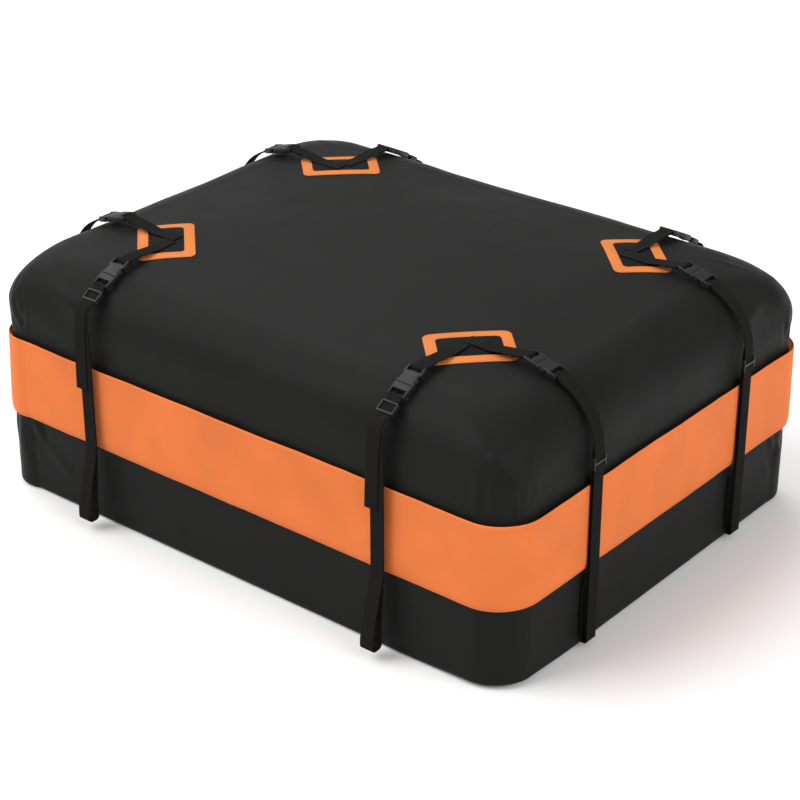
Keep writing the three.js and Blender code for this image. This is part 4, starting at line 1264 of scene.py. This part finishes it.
class StrapPlan:
    """Where the hardware and the layers of webbing run, in metres, for both kinds of wall."""

    def __init__(self, bag):
        form = BagForm(bag.body)
        self.form, self.bag = form, bag
        self.step = bag.webbing.step
        self.wrap = bag.webbing.wrap
        shoulder_top = bag.body.wall_top + bag.body.shoulder_rise
        self.side_buckle = tilted((form.half_y - 0.0525, shoulder_top - 0.002), 27)
        self.end_buckle = tilted((form.half_x - 0.0885, shoulder_top + 0.0125), 14)
        self.side_line = tilted(self.side_buckle(BAR_AT, 0), 32)
        self.end_line = tilted(self.end_buckle(BAR_AT, 0), 28)
        self.side_front = form.half_y + 0.02
        self.side_back = self.side_front - self.step
        self.end_front = form.half_x + 0.016
        self.end_back = self.end_front - 0.0042
        self.side_floor = 0.0187
        self.end_floor = 0.0127

    def side_strap(self):
        half = self.step / 2
        line, tail = self.side_line, self.side_front + self.step
        back, foot = self.form.half_y + 0.0245, self.form.half_y + 0.0465
        return fillet_path([
            (self.side_back, 0.3655, 0, 0),
            (self.side_back, FLAP_BOTTOM, SOFT_BEND, 0),
            (back, 0.06, SOFT_BEND, 0),
            (back, self.side_floor, 0.0075, 0),
            (foot, self.side_floor, 0.0075, 0),
            (foot, LOOP_TOP, SOFT_BEND, 0),
            (self.side_front, FLAP_BOTTOM, SOFT_BEND, 0),
            (*meeting(line, -half, self.side_front), SHOULDER_BEND, 0),
            (*line(CONVERGE, -half), 0, 0),
            *round_bar(line, -1, self.wrap),
            (*line(CONVERGE, half), 0, 0),
            (*line(0.0419, half), 0, 0),
            (*meeting(line, half, tail), 0.0237, -0.003),
            (tail, 0.35, 0, -0.007),
            (tail, 0.257, 0, -0.01),
        ])

    def end_strap(self):
        half = self.step / 2
        line = self.end_line
        back, foot = self.form.half_x + 0.003, self.form.half_x + 0.0155
        corner = meeting(line, half, self.end_front)
        straight_top = 0.3475
        slant = math.dist(corner, line(CONVERGE, half))
        bend = min(corner[1] - straight_top, slant) / math.tan(math.radians(31))
        return fillet_path([
            (*line(0.026, -half), 0, 0),
            (*line(CONVERGE, -half), 0, 0),
            *round_bar(line, -1, self.wrap),
            (*line(CONVERGE, half), 0, 0),
            (*corner, bend, 0),
            (self.end_front, 0.104, SOFT_BEND, 0),
            (foot, LOOP_TOP, SOFT_BEND, 0),
            (foot, self.end_floor, 0.0035, 0),
            (back, self.end_floor, 0.0035, 0),
            (back, 0.104, SOFT_BEND, 0),
            (self.end_back, FLAP_BOTTOM, SOFT_BEND, 0),
            (self.end_back, straight_top + 0.0014, self.wrap, 0),
            (self.end_front - 1.5 * self.step, straight_top + 0.0155, 0, 0),
        ])

    def top_webbing(self, turn, across, is_side):
        """Path from the patch's field over the crown to the female buckle's bar and back."""
        bar = (self.side_buckle if is_side else self.end_buckle)(-BAR_AT, 0)
        start = 0.2264 if is_side else 0.3075
        lift = start + (0.0345 if is_side else 0.049)
        bow = self.step * (2.5 if is_side else 0.5)
        half = self.step / 2
        webbing = self.bag.webbing

        def height(u):
            v = across + np.linspace(-0.5, 0.5, 7) * webbing.width
            field = top_of_cloth(self.form, *turned(math.radians(turn), u, v)) + 0.0015
            return float(np.max(field)) + 0.0003 + webbing.thickness / 2

        slope = math.atan2(bar[1] - height(lift) - bow, bar[0] - lift)
        ahead = (math.cos(slope), math.sin(slope))

        def back(x, n):
            return (bar[0] - x * ahead[0] - n * ahead[1], bar[1] - x * ahead[1] + n * ahead[0])

        root = [(u, height(u), 0, 0) for u in np.linspace(start, lift, 5)]
        root[-1] = (*root[-1][:2], SHOULDER_BEND, 0)
        return fillet_path([
            *root,
            (*back(SEWN_BACK + 2 * self.step, half), SOFT_BEND, 0),
            (*back(CONVERGE, half), 0, 0),
            *round_bar(back, 1, self.wrap),
            (*back(CONVERGE, -half), 0, 0),
            (*back(SEWN_BACK, -half), 0, 0),
        ])


def ribbon(name, path, webbing):
    """Lays a grid along a path as webbing, gives it its thickness and rounds its edges."""
    piece, flat, i, _ = numbered_grid(name, len(path) - 1, 6)
    across = flat[:, 1] * webbing.width
    u, z, v = path[i].T
    place(piece, np.stack([u, v + across, z], 1))
    gone = np.concatenate([[0], np.cumsum(np.linalg.norm(np.diff(path, axis=0), axis=1))])
    write_uv(piece, np.stack([across, gone[i]], 1))
    modify(piece, "SOLIDIFY", thickness=webbing.thickness, offset=0)
    modify(piece, "BEVEL", width=0.0003, segments=2, limit_method="ANGLE", angle_limit=math.radians(60))
    smooth_faces(piece, 50)
    return piece


def set_in_place(piece, turn, across):
    """Moves a piece from strap coordinates to its wall."""
    piece.data.transform(Matrix.Rotation(math.radians(turn), 4, "Z") @ Matrix.Translation((0, across, 0)))
    return piece


def set_points(points, turn, across):
    """Moves points from strap coordinates to their wall."""
    x, y = turned(math.radians(turn), points[:, 0], points[:, 1] + across)
    return np.stack([x, y, points[:, 2]], 1)


class CARGOBAG_OT_top_webbing(bpy.types.Operator):
    """Lays the eight short webbings from the patches to the female buckles"""

    bl_idname = "cargo_bag.top_webbing"
    bl_label = "Top Webbing"

    def execute(self, context):
        bag = context.scene.cargo_bag
        plan = StrapPlan(bag)
        for name, turn, across, is_side in STRAP_SETS:
            path = plan.top_webbing(turn, across, is_side)
            piece = set_in_place(ribbon(f"anchor_webbing_{name}", path, bag.webbing), turn, across)
            dress(piece, finishes()["ribbed webbing"], "bag", "webbing", f"top_webbing_{name}")
            lines = self.box_stitch(path, bag.webbing)
            rows = [(set_points(line, turn, across), False) for line in lines]
            sew(f"anchor_stitches_{name}", rows, BOX_PITCH, "dark thread", "webbing")
        return {"FINISHED"}

    def box_stitch(self, path, webbing):
        """Lines of a box with a cross, on top of the sewn end of the webbing."""
        margin, reach = 0.004, 0.026
        near, far, half = path[0, 0] + margin, path[0, 0] + reach, webbing.width / 2 - margin
        sewn = path[path[:, 0] < far + 0.006]
        sewn = sewn[: max(2, int(np.argmax(np.diff(sewn[:, 0], append=-1) <= 0)) + 1)]

        def line(*ends):
            steps = np.linspace(0, len(ends) - 1, 40 * (len(ends) - 1) + 1)
            u, v = (np.interp(steps, range(len(ends)), [end[k] for end in ends]) for k in range(2))
            z = np.interp(u, sewn[:, 0], sewn[:, 1]) + webbing.thickness / 2 + 0.0001
            return np.stack([u, v, z], 1)

        corners = (near, -half), (far, -half), (far, half), (near, half)
        box = line(*corners, corners[0])
        return [box, line(corners[0], corners[2]), line(corners[3], corners[1])]


class CARGOBAG_OT_side_straps(bpy.types.Operator):
    """Threads the eight long straps from the male buckles through the adjusters to the rail loops"""

    bl_idname = "cargo_bag.side_straps"
    bl_label = "Side Straps"

    def execute(self, context):
        bag = context.scene.cargo_bag
        plan = StrapPlan(bag)
        models = {
            True: ribbon("side_strap_model", plan.side_strap(), bag.webbing),
            False: ribbon("end_strap_model", plan.end_strap(), bag.webbing),
        }
        for name, turn, across, is_side in STRAP_SETS:
            piece = set_in_place(copy_of(models[is_side], f"hanging_strap_{name}"), turn, across)
            dress(piece, finishes()["ribbed webbing"], "bag", "webbing", f"side_strap_{name}")
        for model in models.values():
            bpy.data.objects.remove(model)
        return {"FINISHED"}


# Buckles, adjusters and the zip's parts


def moulded(name, node, round_off):
    """A copy of a solid part, merged, with its flat faces joined and its edges rounded."""
    piece = copy_of(node, name)
    edit_whole(
        piece,
        (bpy.ops.mesh.remove_doubles, {"threshold": MERGE_GAP}),
        (bpy.ops.mesh.dissolve_limited, {"angle_limit": math.radians(1)}),
    )
    modify(piece, "BEVEL", width=round_off, segments=2, limit_method="ANGLE", angle_limit=math.radians(35))
    smooth_faces(piece, 35)
    return piece


class CARGOBAG_OT_buckles(bpy.types.Operator):
    """Finishes both halves of the eight side-release buckles"""

    bl_idname = "cargo_bag.buckles"
    bl_label = "Buckles"

    def execute(self, context):
        bag = context.scene.cargo_bag
        for name, *_ in STRAP_SETS:
            for half in ("female", "male"):
                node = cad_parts[f"buckle_{half}_{name}"]
                piece = moulded(f"moulded_{half}_{name}", node, bag.hardware.round_off)
                dress(piece, finishes()["buckle plastic"], "bag", "buckle_plastic", node.name)
        return {"FINISHED"}


class CARGOBAG_OT_adjusters(bpy.types.Operator):
    """Finishes the eight strap adjusters, each on its own sliding body"""

    bl_idname = "cargo_bag.adjusters"
    bl_label = "Strap Adjusters"

    def execute(self, context):
        bag = context.scene.cargo_bag
        for name, *_ in STRAP_SETS:
            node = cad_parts[f"strap_adjuster_{name}"]
            piece = moulded(f"moulded_adjuster_{name}", node, bag.hardware.round_off)
            dress(piece, finishes()["buckle plastic"], f"adjuster_{name}", "buckle_plastic", node.name)
        return {"FINISHED"}


class CARGOBAG_OT_zip_parts(bpy.types.Operator):
    """Gives the zip's tapes, coils, sliders and pulls their finishes"""

    bl_idname = "cargo_bag.zip_parts"
    bl_label = "Zip"

    def execute(self, context):
        made = finishes()
        for name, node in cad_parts.items():
            if name.startswith("zip_slider"):
                self.refinish(node, made["zip metal"])
            elif name.startswith(("zip_tape", "zip_coil", "zip_pull")):
                self.refinish(node, made["zip parts"])
        return {"FINISHED"}

    def refinish(self, node, material):
        for place_of in node.material_slots:
            place_of.link = "OBJECT"
            place_of.material = material


# Floor, backdrop, light and camera


class CARGOBAG_OT_stage(bpy.types.Operator):
    """Sets the pale floor, the soft light and the camera"""

    bl_idname = "cargo_bag.stage"
    bl_label = "Stage"

    def execute(self, context):
        stage = context.scene.cargo_bag.stage
        self.floor()
        self.sky(stage)
        self.lamp("key_light", (-1.7, -1.9, 2.4), 42, stage.key)
        self.lamp("upper_light", (-2.2, 0.9, 2.5), 50, stage.upper)
        self.lamp("fill_light", (3.0, 0.0, 1.7), 48, stage.fill)
        self.camera(context, stage)
        context.scene.view_settings.view_transform = "Standard"
        return {"FINISHED"}

    def floor(self):
        deselect()
        bpy.ops.mesh.primitive_plane_add(size=60, location=(0, 0, 0))
        floor = new_piece("studio_floor")
        material, sketch, shader = new_material("studio floor")
        path = sketch.node("ShaderNodeLightPath").outputs
        seen = sketch.math("MAXIMUM", path["Is Camera Ray"], path["Is Glossy Ray"])
        seen = sketch.math("MAXIMUM", seen, path["Is Transmission Ray"])
        sketch.feed(shader.inputs["Base Color"], sketch.mix(seen, (0.6, 0.6, 0.6, 1), (0.97, 0.97, 0.97, 1)))
        shader.inputs["Roughness"].default_value = 0.9
        shader.inputs["Specular IOR Level"].default_value = 0.0
        floor.data.materials.append(material)

    def sky(self, stage):
        world = bpy.data.worlds.new("Studio")
        bpy.context.scene.world = world
        world.use_nodes = True
        sketch = Sketch(world.node_tree)
        back = world.node_tree.nodes["Background"]
        path = sketch.node("ShaderNodeLightPath").outputs
        seen = sketch.math("MAXIMUM", path["Is Camera Ray"], path["Is Transmission Ray"])
        back.inputs["Color"].default_value = (1, 1, 1, 1)
        strength = sketch.node("ShaderNodeMapRange", {"Value": seen, "To Min": stage.daylight, "To Max": 1.0})
        sketch.feed(back.inputs["Strength"], strength.outputs["Result"])

    def lamp(self, name, place_at, spread, strength):
        data = bpy.data.lights.new(name, "SUN")
        data.angle, data.energy = math.radians(spread), strength
        lamp = bpy.data.objects.new(name, data)
        lamp.location = place_at
        lamp.rotation_euler = (-Vector(place_at)).to_track_quat("-Z", "Y").to_euler()
        bpy.context.scene.collection.objects.link(lamp)

    def camera(self, context, stage):
        data = bpy.data.cameras.new("camera")
        data.lens, data.sensor_width = stage.lens, 36
        data.clip_start, data.clip_end = 0.05, 100
        camera = bpy.data.objects.new("camera", data)
        a, e = stage.azimuth, stage.elevation
        back = Vector((math.sin(a) * math.cos(e), -math.cos(a) * math.cos(e), math.sin(e)))
        camera.location = stage.place
        camera.rotation_euler = (-back).to_track_quat("-Z", "Y").to_euler()
        context.scene.collection.objects.link(camera)
        context.scene.camera = camera


class CARGOBAG_PT_pieces(bpy.types.Panel):
    bl_idname = "CARGOBAG_PT_pieces"
    bl_label = "Cargo Bag"
    bl_space_type = "VIEW_3D"
    bl_region_type = "UI"
    bl_category = "Cargo Bag"

    def draw(self, context):
        bag = context.scene.cargo_bag
        for title in ("body", "band", "patch", "webbing", "hardware", "stage"):
            box = self.layout.box()
            box.label(text=title.title())
            group = getattr(bag, title)
            for key in group.__annotations__:
                box.prop(group, key)
        for operator in OPERATORS:
            self.layout.operator(operator.bl_idname)


SETTINGS = (
    BodySettings,
    BandSettings,
    PatchSettings,
    WebbingSettings,
    HardwareSettings,
    StageSettings,
    CargoBagSettings,
)
OPERATORS = (
    CARGOBAG_OT_upper_shell,
    CARGOBAG_OT_lower_shell,
    CARGOBAG_OT_zip_parts,
    CARGOBAG_OT_band,
    CARGOBAG_OT_patches,
    CARGOBAG_OT_top_webbing,
    CARGOBAG_OT_side_straps,
    CARGOBAG_OT_buckles,
    CARGOBAG_OT_adjusters,
    CARGOBAG_OT_stage,
)


def register():
    for each in (*SETTINGS, *OPERATORS, CARGOBAG_PT_pieces):
        bpy.utils.register_class(each)
    bpy.types.Scene.cargo_bag = bpy.props.PointerProperty(type=CargoBagSettings)


def unregister():
    del bpy.types.Scene.cargo_bag
    for each in reversed((*SETTINGS, *OPERATORS, CARGOBAG_PT_pieces)):
        bpy.utils.unregister_class(each)


def main():
    register()
    bpy.ops.cargo_bag.upper_shell()
    bpy.ops.cargo_bag.lower_shell()
    bpy.ops.cargo_bag.zip_parts()
    bpy.ops.cargo_bag.band()
    bpy.ops.cargo_bag.patches()
    bpy.ops.cargo_bag.top_webbing()
    bpy.ops.cargo_bag.side_straps()
    bpy.ops.cargo_bag.buckles()
    bpy.ops.cargo_bag.adjusters()
    bpy.ops.cargo_bag.stage()
    deselect()


if __name__ == "__main__":
    main()
